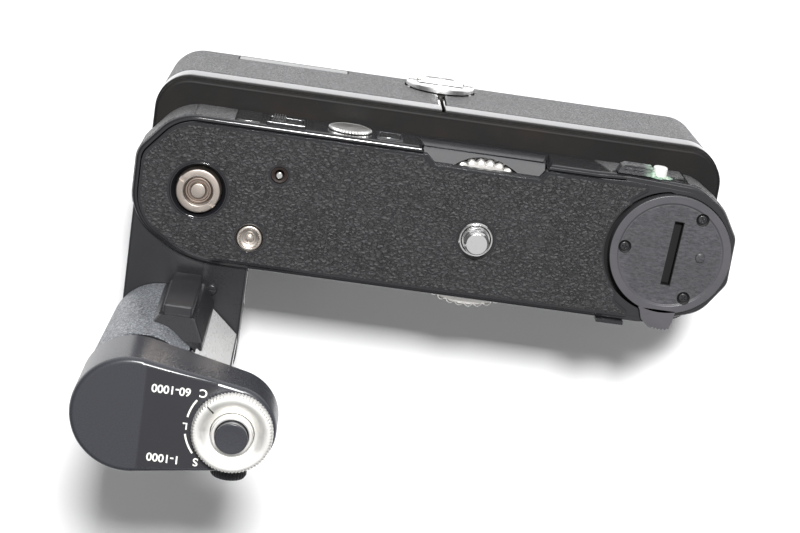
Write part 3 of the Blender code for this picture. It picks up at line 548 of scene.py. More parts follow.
emit("plate", slab(inset(HOUSE, 1.55), 60.5, 62.5, 0.15), SATIN, "drive", "top_plate",
     cut=[slab(NOTCH, *THROUGH), slab(key_edge(), *THROUGH)] + bores())
emit("plate_edge", slab(grown(LEATHER_EDGE, 0.2), 62.3, 63.36), HOUSING,
     cut=[slab(grown(NOTCH, 0.3), *THROUGH), rod(15.75, *THROUGH, *RECESS[:2], 128)] + bores(-0.05),
     bevel=0.4, steps=4)
emit("end_deck", slab(inset(HOUSE, 0.35), 60.9, 62.47, 0.35), SATIN,
     cut=[slab(key_edge(), *THROUGH), slab(grown(LEATHER_EDGE, 0.45), *THROUGH),
          box(-90, 45.0, -30, 30, *THROUGH)], bevel=0.1)
emit("leather_top", slab(inset(LEATHER_EDGE, 0.45), 63.0, 63.5),
     LEATHER_PLATE, "drive", "plate_leather",
     cut=[slab(grown(NOTCH, 1.0), *THROUGH), rod(16.2, *THROUGH, *RECESS[:2], 128)] + bores(0.5), bevel=0.12)
# The key seat's floor is near-black as painted shade in the recess round the key.
emit("key_seat_floor", turned([(3.0, 57.4), (17.4, 57.4), (17.4, 60.2), (3.0, 60.2)], *RECESS[:2], 96), BLACK_AND_SHADE,
     "drive", "key_seat", cut=[box(74, 90, -30, 30, 50, 70)])

# rings round the fittings
emit("coupling_well", turned([
    (5.75, 60.4), (7.15, 60.4), (7.15, 63.35, 0.15), (6.7, 63.35, 0.3), (6.1, 62.2), (5.75, 61.5)],
    *COUPLING), GLOSS)
emit("plunger_guide", turned([(3.35, 60.6), (3.65, 60.6), (3.65, 63.45, 0.1), (3.35, 63.45, 0.1)], *PLUNGER),
     DARK_STEEL)
CONTACT_SLEEVE = mottled("contact_sleeve", ((0.012, 0.010, 0.009), (0.035, 0.022, 0.018)), (1.5, 3.0),
                         (0.45, 0.65), (2.0, 3.0), 0.02, (5.0, 3.0), specular=0.3)
emit("contact_bush", turned([(1.1, 58.0), (2.15, 58.0), (2.15, 62.9, 0.2), (1.1, 62.2, 0.2)], *CONTACT, 64),
     CONTACT_SLEEVE)
collar = [(3.7, 61.0), (4.4, 61.0), (4.4, 63.5, 0.15), (4.1, 63.75, 0.1), (3.7, 63.75, 0.1)]
emit("screw_collar", turned(collar, *SCREW), CHROME)

# ---- plate mechanisms
ticks = [spun(box(4.1, 6.2, -0.55, 0.55, 63.75, 65), a, *COUPLING) for a in (148, 323)]
emit("drive_coupling", turned([
    (0, 49.3), (3.0, 49.3), (3.0, 57.0), (5.5, 57.6), (5.5, 64.2, 0.35), (3.75, 64.2, 0.15),
    (3.3, 63.7, 0.1), (2.95, 62.3), (2.95, 61.4), (1.9, 61.4), (1.9, 64.0, 0.25), (0, 64.0)],
    *COUPLING, 128), COUPLE_METAL, "spindle", "drive_spindle", cut=ticks)
emit("spindle_gear", ridged(12.6, 1.6, 24, [(0, 51.0, 1.0), (0, 53.6, 1.0)], *COUPLING), STEEL, "spindle")
emit("coupling_ring", turned([
    (2.0, 62.0), (3.2, 62.0), (3.2, 63.5, 0.1), (2.7, 63.5, 0.1), (2.6, 63.1), (2.2, 63.1), (2.1, 63.3),
    (2.0, 63.3)], *COUPLING, 72), COUPLE_DARK, "spindle")
emit("plunger_cap", turned([
    (0, 51.0), (2.0, 51.0), (2.0, 57.6), (3.2, 57.6), (3.2, 64.1, 0.3), (2.55, 64.1, 0.1),
    (2.3, 63.75, 0.1), (1.7, 63.6), (1.55, 63.7), (1.15, 63.66, 0.05), (1.0, 63.4), (0.8, 63.4),
    (0.75, 63.95, 0.15), (0, 64.0)], *PLUNGER),
    PLUNGER_METAL, "plunger", "rewind_plunger")
emit("contact_tip", turned([(0, 54.0), (0.9, 54.0), (0.9, 63.9, 0.3), (0, 63.9)], *CONTACT, 48), CHROME,
     "contact", "contact_pin")
emit("wheel", ridged(WHEEL_R, 0.75, 48, [
    (0.8, 55.0, 0.3), (0.25, 55.25, 1.0), (0.0, 55.6, 1.0), (0.0, 57.7, 1.0), (0.25, 58.15, 1.0),
    (0.8, 58.4, 0.6), (2.2, 58.4, 0.0), (2.5, 58.1, 0.0), (6.0, 58.0, 0.0)],
    *SCREW, hollow=3.7), WHEEL_METAL, "wheel", "attach_wheel", smooth=25)


def thread(cx, cy, r, depth, pitch, z0, z1, n=64):
    """Helical V thread as a height field on a cylinder, closed top and bottom."""
    rows = 6 * int((z1 - z0) / pitch) + 1
    rings = []
    for i in range(rows + 1):
        z = z0 + (z1 - z0) * i / rows
        fade = min(1.0, (z1 - z) / (0.4 * pitch), (z - z0) / (0.4 * pitch))
        rings.append([Vector((cx + rr * cos(t), cy + rr * sin(t), z)) for t, rr in (
            (tau * k / n, r - depth * max(fade, 0.0) * abs(2 * (((z - z0) / pitch - k / n) % 1) - 1))
            for k in range(n))])
    return loft(rings)


emit("mount_screw", joined(
    turned([(0, 49.4), (2.6, 49.4), (2.6, 54.4), (3.45, 54.4), (3.45, 63.5), (0, 63.5)], *SCREW),
    thread(*SCREW, 3.15, 0.55, 1.27, 63.4, 67.2),
    turned([(0, 67.0), (3.16, 67.0), (3.16, 67.5, 0.3), (2.6, 68.0, 0.4), (0, 68.0)], *SCREW)),
    SCREW_METAL, "drive", "camera_screw")

# door key: rim, field with a fine crazed texture, slot, screws, boss and serrated thumb tab
k = Look("key_disc_black", specular=0.5)
lines = k.noise(1.0, 5.0, 0.7, k.stretched((0.8, 2.4, 1.0), k.warped(0.7, 1.0), turn=8))
field = k.fit(k.radius(*row(KEY)), 12.6, 12.9, 1.0, 0.0)
worn = k.fit(k.noise(0.09, 4.0), 0.4, 0.7)
crazed = k.calc("MULTIPLY", k.fit(lines, 0.62, 0.36), field)
tint = k.mix(worn, (0.062, 0.060, 0.066), (0.074, 0.070, 0.078))
KEY_BLACK = k.done(k.mix(crazed, tint, (0.034, 0.034, 0.038)),
                   k.calc("ADD", k.fit(lines, 0.3, 0.7, 0.26, 0.40), k.fit(worn, 0.0, 1.0, -0.03, 0.04)),
                   k.bump(k.calc("MULTIPLY", lines, field), 0.055))
slot_turn = degrees(atan2(16.55, 0.75)) - 90  # the slot leans a little from the y axis
SCREWS = [(65.4, 10.3), (47.4, 1.0), (64.3, -10.2)]
key_slot = spun(box(-1.25, 1.25, -8.3, 8.3, 60.8, 66), slot_turn, *KEY_SLOT)
sinks = [rod(1.65, 61.9, 66, *c, 40) for c in SCREWS]
emit("key_disc", turned([
    (0, 60.5), (14.6, 60.5), (15.15, 61.0, 0.2), (15.15, 63.9, 0.16), (13.3, 63.9, 0.2), (12.9, 63.6, 0.15),
    (0, 63.6)], *KEY, 160), KEY_BLACK, "door_key", "door_key", cut=[key_slot] + sinks)
tab = [(-5.6, -14.2), (4.0, -14.2), (3.5, -17.3), (3.0, -19.0)]
tab += [(3.0 - 0.45 * i, -19.6 + (0.45 if i % 2 else 0.0) + 0.05 * abs(i - 5)) for i in range(1, 11)]
tab += [(-2.3, -19.1), (-4.4, -17.2), (-5.1, -15.0)]
emit("key_tab", slab([Vector((KEY[0] + x, KEY[1] + y)) for x, y in tab][::-1], 62.8, 63.9), KEY_BLACK,
     "door_key", bevel=0.12)
# A near-black liner inside the key's slot is painted shade of the hole.
emit("key_slot_liner", spun(box(-1.24, 1.24, -8.29, 8.29, 60.85, 63.35), slot_turn, *KEY_SLOT),
     BLACK_AND_SHADE, "door_key", cut=[spun(box(-1.1, 1.1, -8.1, 8.1, 61.2, 64), slot_turn, *KEY_SLOT)])
emit("key_boss", turned([(0, 62.4), (1.25, 62.4), (1.2, 64.05, 0.25), (0, 64.2)], 66.5, 0.7, 48), KEY_BLACK,
     "door_key")
for i, (c, turn) in enumerate(zip(SCREWS, (25, 80, 50)), 1):
    cross = [spun(box(-0.75, 0.75, -0.16, 0.16, 63.0, 64), turn + a, *c) for a in (0, 90)]
    # A near-black ring in each screw's sink is painted shade of the gap round the head.
    emit("key_screw_ring_%d" % i, turned([(1.2, 61.95), (1.62, 61.95), (1.62, 63.3), (1.2, 63.1)], *c, 48),
         BLACK_AND_SHADE, "door_key")
    emit("key_screw_head_%d" % i, turned([(0, 62.0), (1.15, 62.0), (1.15, 63.45, 0.2), (0, 63.5)], *c, 48),
         SATIN, "door_key", "key_screw_%d" % i, cut=cross)

# ---- rear wall fittings
GREY_LABEL = mottled("data_label", ((0.030, 0.030, 0.033), (0.045, 0.045, 0.048)), (0.3, 4.0), (0.10, 0.18),
                     (1.2, 4.0), 0.003, (5.0, 3.0), metallic=0.3, specular=0.6)
slope = atan2(3.35, 10.35)
off = Vector((0, cos(slope), sin(slope)))
corner = [(-6.6, 18.08, 50.5), (25.9, 18.08, 50.5), (25.0, 17.08, 53.6), (-5.0, 17.08, 53.6)]
emit("data_label", loft([[Vector(c) + h * off for c in corner] for h in (0.0, 0.2)]), GREY_LABEL, "drive",
     "data_plate", bevel=0.06)


def wall_patch(keep, z0, z1):
    """Leatherette laid on the housing's wall wherever keep(x, y) is true."""
    out, inner = grown(HOUSE, 0.16), inset(HOUSE, 0.25)
    run = [i for i in range(len(HOUSE)) if keep(*HOUSE[i])]
    start = next((i for i in run if (i - 1) % len(HOUSE) not in run), run[0])
    run = [i % len(HOUSE) for i in range(start, start + len(run))]
    path, back = [out[i] for i in run], [inner[i] for i in run]
    levels = [z0 + (z1 - z0) * i / 4 for i in range(5)]
    return loft([at(path + back[::-1], z) for z in levels])


emit("side_leather_left", wall_patch(lambda x, y: x < -62 and y > -6, 48.6, 61.3), LEATHER_PACK, "drive",
     "rear_leather_left", bevel=0.08)
emit("side_leather_back", box(-66.4, -52.4, 18.3, 18.66, 48.6, 61.3), LEATHER_PACK, bevel=0.1,
     cut=[box(-70, -62.2, 17, 20, 40, 70)])
emit("side_leather_right", wall_patch(lambda x, y: x > 56 and y > -15.5, 50.2, 60.8), LEATHER_PACK, bevel=0.08)
emit("side_leather_slant", prism([
    (38.2, 50.2), (60.0, 50.2), (60.0, 57.6), (43.0, 57.6), (41.4, 60.8), (41.0, 60.8)],
    18.35, 18.95, "y"), LEATHER_PACK, bevel=0.15)
emit("side_panel", box(-51.9, -46.2, 18.4, 18.75, 49.0, 61.2), MIRROR, bevel=0.12)
emit("switch_bezel", box(-44.6, -35.0, 18.4, 19.4, 53.6, 61.9), GLOSS, "drive", "switch_frame",
     cut=[box(-43.9, -35.7, 17, 21, 54.5, 61.0)], bevel=0.22)
emit("switch_bed", box(-43.95, -35.65, 18.3, 18.65, 54.4, 61.1), BLACK_AND_SHADE)
emit("switch_slide", joined(box(-43.2, -40.0, 18.7, 19.7, 54.9, 60.5), *[
    box(-43.0 + 0.62 * i, -42.7 + 0.62 * i, 19.6, 20.25, 55.2, 60.2) for i in range(5)]),
    PLASTIC, "switch", "power_switch", bevel=0.07)
COUNTER_METAL = metal("counter_chrome", (0.84, 0.84, 0.83), 0.25, (COUNTER[0] + SHIFT.x, 55.0), "XZ",
                      brushed=0.08)
emit("counter_ring", rear(ridged(5.5, 0.35, 40, [
    (0.4, 0.0, 0.3), (0.0, 0.1, 1.0), (0.0, 0.45, 1.0), (0.3, 0.7, 0.5), (0.7, 0.75, 0.0), (0.9, 0.65, 0.0),
    (2.0, 0.6, 0.0)]), *COUNTER), COUNTER_METAL, "counter", "counter_dial")
emit("counter_face", rear(turned([(0, 0), (4.5, 0), (4.5, 0.7, 0.1), (0, 0.7)], n=64), *COUNTER), STEEL,
     "counter")
emit("window_frame", box(-17.2, -10.8, 18.4, 18.78, 51.4, 59.2), SATIN,
     cut=[box(-16.7, -11.3, 17, 20, 51.9, 58.7)], bevel=0.08)
WINDOW = mottled("window_glass", ((0.012, 0.013, 0.014), (0.028, 0.030, 0.033)), (0.6, 3.0), (0.06, 0.14),
                 (2.0, 3.0), 0.003, (3.0, 3.0), specular=0.6, coat=1.0, coat_rough=0.03)
emit("window_glass", box(-16.3, -11.7, 17.9, 18.75, 52.3, 58.3), WINDOW, "drive", "counter_glass",
     bevel=0.12)
bar = [(42.6, 19.3), (43.3, 20.9), (44.2, 21.4), (51.0, 21.4), (51.0, 19.0), (42.6, 19.0)]
PIN_METAL = paint("pin_nickel", (0.62, 0.62, 0.60), 0.35, speck=0.0, grain=0.02)
k = Look("bar_black", specular=0.5)
green = k.calc("MULTIPLY", k.fit(k.axis("X"), 49.6, 53.2, 0.0, 1.0, smooth=True),
               k.fit(k.noise(0.9, 5.0, 0.7), 0.36, 0.52, smooth=True))
bar_tint = k.mix(k.fit(k.noise(0.8, 4.0), 0.3, 0.7), (0.020, 0.020, 0.022), (0.034, 0.034, 0.037))
BAR_BLACK = k.done(k.mix(green, bar_tint, k.mix(k.noise(2.4, 4.0), (0.16, 0.30, 0.20), (0.42, 0.50, 0.42))),
                   k.fit(green, 0.0, 1.0, 0.34, 0.85), k.bump(k.calc("ADD", k.noise(4.0, 3.0), green), 0.12))
emit("contact_bar", slab(plan(*bar), 58.9, 62.6), BAR_BLACK, "drive", "rear_bar",
     cut=[box(44.2, 51.2, y, y + 0.32, 62.3, 63) for y in (19.75, 20.55)]
     + [box(43.6, 51.2, 21.15, 21.6, z, z + 0.4) for z in (60.0, 61.2)]
     + [rear(rod(0.35, 0, 2, n=24), x, 20.9, 59.6) for x in (45.4, 48.6)],
     bevel=0.14)
emit("sync_pin", rear(turned([(0, 0), (1.8, 0), (1.8, 2.4, 0.5), (0, 2.4)], n=64), 53.4, 19.0, 59.4),
     PIN_METAL, "drive", "terminal_pin")
k = Look("verdigris", specular=0.2)
VERDIGRIS = k.done(k.mix(k.fit(k.noise(1.6, 5.0, 0.7), 0.35, 0.62), (0.10, 0.24, 0.15), (0.50, 0.58, 0.50)),
                   0.9, k.bump(k.noise(3.5, 5.0, 0.8), 0.25))


def crust(name, cx, y, cz, rx, rz, thick, seed):
    """Lumpy mineral crust lying on the rear wall round a point."""
    n, rings = 40, []
    for share, h in ((1.0, 0.0), (0.82, 0.55), (0.5, 0.9), (0.2, 1.0)):
        ring = []
        for i in range(n):
            t = tau * i / n
            wob = 1 + 0.16 * sin(3 * t + seed) + 0.10 * sin(7 * t + 2.1 * seed) + 0.06 * sin(13 * t)
            lump = h * (1 + 0.18 * sin(5 * t + seed * 3 + share * 9))
            ring.append(Vector((cx + rx * share * wob * cos(t), y + thick * lump,
                                cz + rz * share * wob * sin(t))))
        rings.append(ring)
    emit(name, loft(rings), VERDIGRIS, smooth=60)


crust("verdigris_pin", 53.5, 18.7, 59.6, 2.9, 2.5, 0.55, 1.3)
crust("verdigris_bar", 51.2, 18.9, 60.4, 1.5, 1.6, 1.3, 4.1)

# ---- grip
FACET_A, FACET_B = Vector((-53.5, -28.9)), Vector((-45.0, -36.5))
FACET_N = Vector((FACET_A.y - FACET_B.y, FACET_B.x - FACET_A.x)).normalized()
SMALL_STEPS = 36  # steps round the grip's narrow end


def grip_ring(z, shrink):
    """The grip's plan at a height, with the flat facet beside its narrow end."""
    t = (z - 60.8) / (105.0 - 60.8)
    ring = egg(GRIP_BIG, 12.1 + 0.8 * t - shrink, GRIP_SMALL, 7.1 + 0.4 * t - shrink, n2=SMALL_STEPS)
    ring = [p - FACET_N * max(0.0, (p - FACET_A).dot(FACET_N) - 0.2 * t + shrink) for p in ring]
    return at(ring, z)


def grip_skin(z, part, shrink=0.0):
    """Open plan path: the leather runs round the large end, the panel round the small one."""
    ring = grip_ring(z, shrink)
    small, big = ring[:SMALL_STEPS + 1], ring[SMALL_STEPS + 1:]
    if part == "leather":
        return [big[0].lerp(small[-1], 0.5)] + big + [big[-1].lerp(small[0], 0.5)]
    return [big[-1].lerp(small[0], 0.56)] + small + [big[0].lerp(small[-1], 0.56)]


def skin(part, levels, thick):
    """Closed thin shell over the grip through levels."""
    outer = [grip_skin(z, part) for z in levels]
    inner = [grip_skin(z, part, thick) for z in levels]
    return loft([o + i[::-1] for o, i in zip(outer, inner)])


levels = [61.0 + 43.4 * i / 12 for i in range(13)]
emit("grip_tube", loft([grip_ring(z, 0.6) for z in (60.6, 74.0, 90.0, 104.0, 112.0)]
                       + [grip_ring(z, 1.7) for z in (112.0, 90.0, 60.6)]
                       + [grip_ring(60.6, 0.6)], caps=False), BLACK_AND_SHADE, "drive", "grip_core")
emit("grip_hide", skin("leather", levels, 0.55), LEATHER_GRIP, "drive", "grip_leather", bevel=0.12)
emit("grip_sheet", skin("panel", levels, 0.45), MIRROR, "drive", "grip_panel", bevel=0.1)
facet = [FACET_A + (FACET_B - FACET_A) * share + FACET_N * h
         for share, h in ((0.04, -0.3), (0.96, -0.3), (0.96, 0.22), (0.04, 0.22))]
emit("grip_facet", loft([at([p + FACET_N * 0.2 * (z - 61.0) / 44.0 for p in facet], z)
                         for z in (61.3, 75.0, 90.0, 104.0)]), FACET_PAINTED_REFLECTION, bevel=0.15)


def pad_section(x0, x1, y, z0, z1, r):
    """Upright rounded rectangle at y."""
    outline = soften([(x0, z0, r), (x1, z0, r), (x1, z1, r), (x0, z1, r)], seg=8)
    return [Vector((p.x, y, p.y)) for p in outline]


emit("pad_block", loft([pad_section(*size) for size in (
    (-65.9, -51.7, -29.5, 61.3, 97.7, 1.2), (-65.8, -51.8, -27.6, 61.5, 97.5, 1.2),
    (-64.6, -53.0, -25.6, 62.3, 95.6, 1.1), (-63.5, -54.0, -24.0, 63.0, 94.1, 1.0),
    (-63.2, -54.2, -23.5, 63.3, 93.6, 0.9), (-62.9, -54.5, -23.3, 63.6, 93.3, 0.8))]),
    SATIN, "drive", "pad_base",
    cut=[loft([grip_ring(z, -0.05) for z in (58.0, 74.0, 90.0, 115.0)])], smooth=24)
emit("buffer", loft([pad_section(*size) for size in (
    (-62.2, -55.2, -23.6, 64.3, 92.3, 0.7), (-62.2, -55.2, -21.3, 64.3, 92.3, 0.7),
    (-62.0, -55.4, -21.0, 64.5, 92.1, 0.6), (-61.7, -55.7, -20.9, 64.8, 91.8, 0.5))]),
    RUBBER, "drive", "buffer_pad", smooth=24)

# head
HEAD_EDGE = egg(GRIP_BIG, 13.4, HEAD_SMALL, 10.0, 96, 64)


def head_under(x):
    """Height of the head's slanting underside."""
    return 105.0 + (x + 80.0) * 9.0 / 51.0


def head_ring(d, up=None, lift=0.0):
    ring = inset(HEAD_EDGE, d) if d else HEAD_EDGE
    return [Vector((p.x, p.y, head_under(p.x) + lift if up is None else up)) for p in ring]


emit("head", loft([head_ring(1.2), head_ring(0.35, lift=0.1), head_ring(0.0, lift=0.6)] + [
    head_ring(d, up) for d, up in ((0.0, 118.0), (0.0, 123.2), (0.12, 123.75), (0.42, 124.2), (0.85, 124.44),
                                   (1.35, 124.5))]), HEAD, "drive", "grip_head",
     cut=[slab(plan((-61.9, -49.6), (-46.0, -47.6), (-46.0, -27.4), (-61.9, -25.4)), 124.15, 126),
          rod(5.3, 119.0, 126, *DIAL, 64),
          front(rod(3.2, -7, 9, n=48), -41.6, -46.0, 117.0),
          loft([grip_ring(z, -0.25) for z in (98.0, 106.0, 112.5)])])
emit("head_panel", slab(plan((-61.7, -49.3), (-46.3, -47.3), (-46.3, -27.7), (-61.7, -25.7)),
                        124.1, 124.36), LABEL_BLACK, "drive", "head_label",
     cut=[rod(9.35, 123, 126, *DIAL)])


def mark_text(name, body, x, y, size):
    """Printed characters lying on the head's panel, to be read from the rear."""
    data = bpy.data.curves.new(name, "FONT")
    data.body, data.size, data.align_x, data.align_y = body, size, "CENTER", "CENTER"
    data.extrude, data.offset = 0.02, 0.055
    ob = bpy.data.objects.new(name, data)
    SCENE.collection.objects.link(ob)
    graph = bpy.context.evaluated_depsgraph_get()
    bm = bmesh.new()
    mesh = bpy.data.meshes.new_from_object(ob.evaluated_get(graph))
    bm.from_mesh(mesh)
    bpy.data.meshes.remove(mesh)
    bpy.data.objects.remove(ob, do_unlink=True)
    bmesh.ops.remove_doubles(bm, verts=bm.verts, dist=1e-4)
    emit(name, moved(bm, Matrix.Translation((x, y, PRINT_Z)) @ Matrix.Rotation(pi, 4, "Z")), WHITE_MARK)


def arc(name, a0, a1, r, width):
    """Printed arc round the dial."""
    steps = 16
    turns = [radians(a0 + (a1 - a0) * i / steps) for i in range(steps + 1)]
    line = [polar(*DIAL, rr, t) for rr, side in ((r + width / 2, turns), (r - width / 2, turns[::-1]))
            for t in side]
    emit(name, loft([at(line, 124.34), at(line, 124.39)]), WHITE_MARK)


mark_text("mark_c", "C", -49.0, -30.0, 2.6)
mark_text("mark_l", "L", -52.1, -38.1, 2.2)
mark_text("mark_s", "S", -48.9, -46.2, 2.6)
mark_text("mark_speed_upper", "60-1000", -56.05, -30.2, 2.62)
mark_text("mark_speed_lower", "1-1000", -56.1, -46.3, 2.62)
arc("mark_arc_upper", 146, 171, 10.35, 0.42)
arc("mark_arc_lower", 193, 219, 10.6, 0.42)

# dial, sleeve and release button
index = spun(box(6.3, 8.5, -0.16, 0.16, 127.3, 130), 136, *DIAL)
emit("dial", ridged(9.05, 0.28, 72, [
    (0.3, 124.8, 0.5), (0.0, 125.1, 1.0), (0.0, 127.3, 1.0), (0.15, 127.6, 1.0), (0.45, 127.85, 0.5),
    (0.9, 127.9, 0.0), (1.6, 127.85, 0.0), (2.3, 127.55, 0.0), (3.0, 127.2, 0.0), (3.9, 126.8, 0.0)],
    *DIAL, hollow=4.95), DIAL_METAL, "dial", "mode_dial", cut=[index], smooth=40)
emit("dial_index", spun(box(6.35, 8.45, -0.15, 0.15, 126.9, 127.62), 136, *DIAL), BLACK_AND_SHADE, "dial")
emit("button_sleeve", turned([(3.75, 120.2), (4.7, 120.2), (4.7, 128.5, 0.35), (3.75, 128.5, 0.2)], *DIAL),
     DIAL_METAL, "drive", "release_sleeve")
emit("button", turned([
    (0, 119.0), (1.5, 119.0), (1.5, 123.0), (3.6, 123.2), (3.6, 130.3, 0.4), (2.9, 130.25, 0.5),
    (1.8, 130.15, 1.5), (0, 130.12)], *DIAL, seg=8), HEAD, "button", "release_button")
emit("socket_cap", front(ridged(4.2, 0.25, 30, [
    (1.5, 1.2, 0.0), (0.2, 1.2, 0.0), (0.0, 1.5, 1.0), (0.0, 3.3, 1.0), (0.35, 3.9, 0.3), (0.9, 4.1, 0.0)]),
    *SOCKET_CAP), RUBBER, "cap", "terminal_cap")
emit("socket_cap_plug", front(turned([(0, -2.2), (1.3, -2.2, 0.3), (1.3, 1.4), (0, 1.4)], n=40), *SOCKET_CAP),
     RUBBER, "cap")


# ---- battery pack
def pack_outline(d=0.0, seg=18):
    x0, x1, y0, y1 = PACK[0] + d, PACK[1] - d, PACK[2] + d, PACK[3] - d
    return soften([(x, y, 9.0 - d) for x, y in ((x0, y0), (x1, y0), (x1, y1), (x0, y1))], seg=seg)


emit("roof", loft([at(pack_outline(d), z) for d, z in (
    (0.5, 41.95), (0.12, 42.02), (0.0, 42.2), (0.0, 42.8), (0.35, 42.9), (0.35, 44.1), (0.35, 46.3),
    (0.5, 46.55), (0.7, 46.75), (0.95, 46.82), (1.25, 46.9), (1.6, 46.78))]), MATTE, "drive", "pack_roof",
    cut=[slab(pack_outline(2.2), 41.0, 44.6)] + [
        box(MID - 0.55, MID + 0.55, y - 0.5, y + 0.5, 41, 46.4) for y in (PACK[2], PACK[3])])
# A near-black sheet with almost no gloss lines the roof's recessed band as painted shade in the groove.
GROOVE_SHADE = mottled("roof_groove_shade", ((0.006, 0.006, 0.006), (0.014, 0.013, 0.012)), (0.8, 4.0), (0.6, 0.8),
                 (1.5, 3.0), 0.01, (4.0, 3.0), specular=0.02)
groove = [(0.6, 42.9), (0.28, 43.0), (0.28, 46.25), (0.6, 46.35), (0.6, 42.9)]
band = loft([at(pack_outline(d), z) for d, z in groove], caps=False)
bmesh.ops.remove_doubles(band, verts=band.verts, dist=1e-5)
emit("roof_groove_shade", band, GROOVE_SHADE)
rails = []
for side in (-1, 1):
    for y in (-12.0, 14.0):
        half = [(0.9, 44.9), (0.9, 39.4), (2.4, 39.4), (2.4, 38.2)]
        tee = [(y - w, z) for w, z in half] + [(y + w, z) for w, z in half[::-1]]
        rails.append(prism(tee, *sorted((MID + side * 9.0, MID + side * 60.0))))
emit("rails", joined(*rails), STEEL)
emit("spine", box(MID - 5.5, MID + 5.5, -16.0, 19.0, 3.0, 44.9), PLASTIC, bevel=0.4,
     cut=[rear(rod(2.2, 0, 12, n=40), MID, 14.0, LOCK_Z)])
lock_boss = turned([(2.2, 0), (7.6, 0), (7.6, 6.4, 0.3), (2.2, 6.4, 0.3)], n=72)
emit("lock_boss", rear(lock_boss, MID, 18.0, LOCK_Z), DARK_STEEL)


def clip_path(side, d, z, reach=0.0, seg=18):
    """Open plan path round one clip: rear inner end, round the outer end, front inner end."""
    y0, y1 = PACK[2:]
    xm = MID + side * (0.5 - reach)
    pts = [p for p in pack_outline(d, seg) if (p.x - MID) * side > 0]
    pts.sort(key=lambda p: -atan2(p.y - 1.4, (p.x - MID) * side))
    return [Vector((xm, y1 - d, z)), *at(pts, z), Vector((xm, y0 + d, z))]


def fillet(r, d0, z0, steps=8):
    """Inset and height pairs round a bottom edge."""
    return [(d0 + r * (1 - cos(a)), z0 + r * (1 - sin(a)))
            for a in [pi / 2 * k / steps for k in range(steps + 1)]]


for side, tag in ((-1, "left"), (1, "right")):
    body = tag + "_clip"
    outer = [(0.62 + d, z) for d, z in fillet(3.2, 0.0, 0.7)][::-1] + [
        (0.62, BAND_Z - 0.25), (0.5, BAND_Z - 0.05), (0.12, BAND_Z + 0.05), (0.0, BAND_Z + 0.3), (0.0, 41.2),
        (0.1, 41.55), (0.4, 41.7)]
    emit(tag + "_shell", loft([clip_path(side, d, z) for d, z in outer]), GLOSS, body, tag + "_clip",
         cut=[loft([clip_path(side, 1.45, z, 4.0, 10) for z in (1.9, 43.0)]),
              box(*sorted((MID - side * 3, MID + side * 6.3)), -16.8, 19.8, 38, 44),
              rear(rod(8.1, 0, 12, n=72), MID, 15.0, LOCK_Z)], bevel=0.12)
    cover = [(0.22, BAND_Z - 0.42), (0.06, BAND_Z - 0.6), (0.0, BAND_Z - 0.9)] + [
        (d, z + 0.1) for d, z in fillet(3.6, 0.0, 0.0, 10)] + [(5.6, 0.1)]
    inner = [(d + 0.42, z + (0.35 if z < 3.5 and d > 0.3 else 0.0)) for d, z in cover]
    hide = [a + b[::-1] for a, b in zip([clip_path(side, d, z, -0.55) for d, z in cover],
                                        [clip_path(side, d, z, -0.55) for d, z in inner])]
    cuts = [rear(rod(9.6, 0, 12), MID, 20.0, LOCK_Z)]
    if side < 0:
        cuts.append(box(-55.7, -25.7, 23.3, 26, 3.6, 8.8))
    emit(tag + "_hide", loft(hide), LEATHER_PACK, body, tag + "_leather", cut=cuts, bevel=0.1)
    emit(tag + "_foot", slab([Vector((p.x, p.y)) for p in clip_path(side, 6.2, 0, -0.5)][::-side], 0.0, 1.0,
                             0.0, 0.3), RUBBER, body)
    lo = min(MID + side * 62.0, MID + side * 11.5) + 0.2
    rows = [(1.4 + i * 14.2, 9.6) for i in (-1, 0, 1)] + [(1.4 + i * 14.2, 22.4) for i in (-0.5, 0.5)]
    for i, (y, z) in enumerate(rows, 1):
        flip = i % 2 == 0
        shape = [
            (0, 0), (4.6, 0, 0.3), (4.8, 0.25), (6.7, 0.3), (7.05, 0.3, 0.4), (7.05, 48.4, 0.6),
            (2.7, 48.6, 0.3), (2.7, 50.0, 0.3), (0, 50.0)]
        cell = turned(shape, n=64)
        if flip:
            cell = moved(cell, Matrix.Translation((0, 0, 50.0)) @ Matrix.Rotation(pi, 4, "X"))
        k = Look("cell_wrap_%s_%d" % (tag, i), metallic=0.55)
        along = k.calc("SUBTRACT", k.axis("X"), lo + SHIFT.x)
        along = k.calc("SUBTRACT", 50.0, along) if flip else along
        gold = k.fit(along, 34.0, 34.4)
        end = k.calc("ADD", k.fit(along, 0.6, 0.4), k.fit(along, 48.3, 48.5))
        wrap = k.mix(gold, (0.035, 0.038, 0.045), (0.55, 0.36, 0.16))
        wrap = k.mix(end, wrap, (0.62, 0.62, 0.60))
        emit("cell_%s_%d_can" % (tag, i), moved(cell, Matrix.Translation((lo, y, z))
                                                    @ Matrix.Rotation(radians(90), 4, "Y")),
             k.done(wrap, k.fit(k.noise(1.0, 3.0), 0.3, 0.7, 0.26, 0.36), k.bump(k.noise(4.0), 0.01)), body,
             "cell_%s_%d" % (tag, i))

k = Look("badge_silver", metallic=0.9)
BADGE = k.done(k.mix(k.noise(0.5, 4.0), (0.20, 0.20, 0.20), (0.34, 0.34, 0.34)),
               k.fit(k.noise(1.0, 3.0, 0.6, k.stretched((0.2, 1, 6.0))), 0.3, 0.7, 0.22, 0.36),
               k.bump(k.noise(1.0, 3.0, 0.6, k.stretched((0.3, 1.0, 8.0))), 0.01))
badge = soften([(-55.4, 3.9, 0.5), (-26.0, 3.9, 0.5), (-26.0, 8.5, 0.5), (-55.4, 8.5, 0.5)], seg=5)
emit("name_badge", prism([(p.x, p.y) for p in badge], 23.9, 24.48, "y"), BADGE, "left_clip", "badge",
     bevel=0.14)

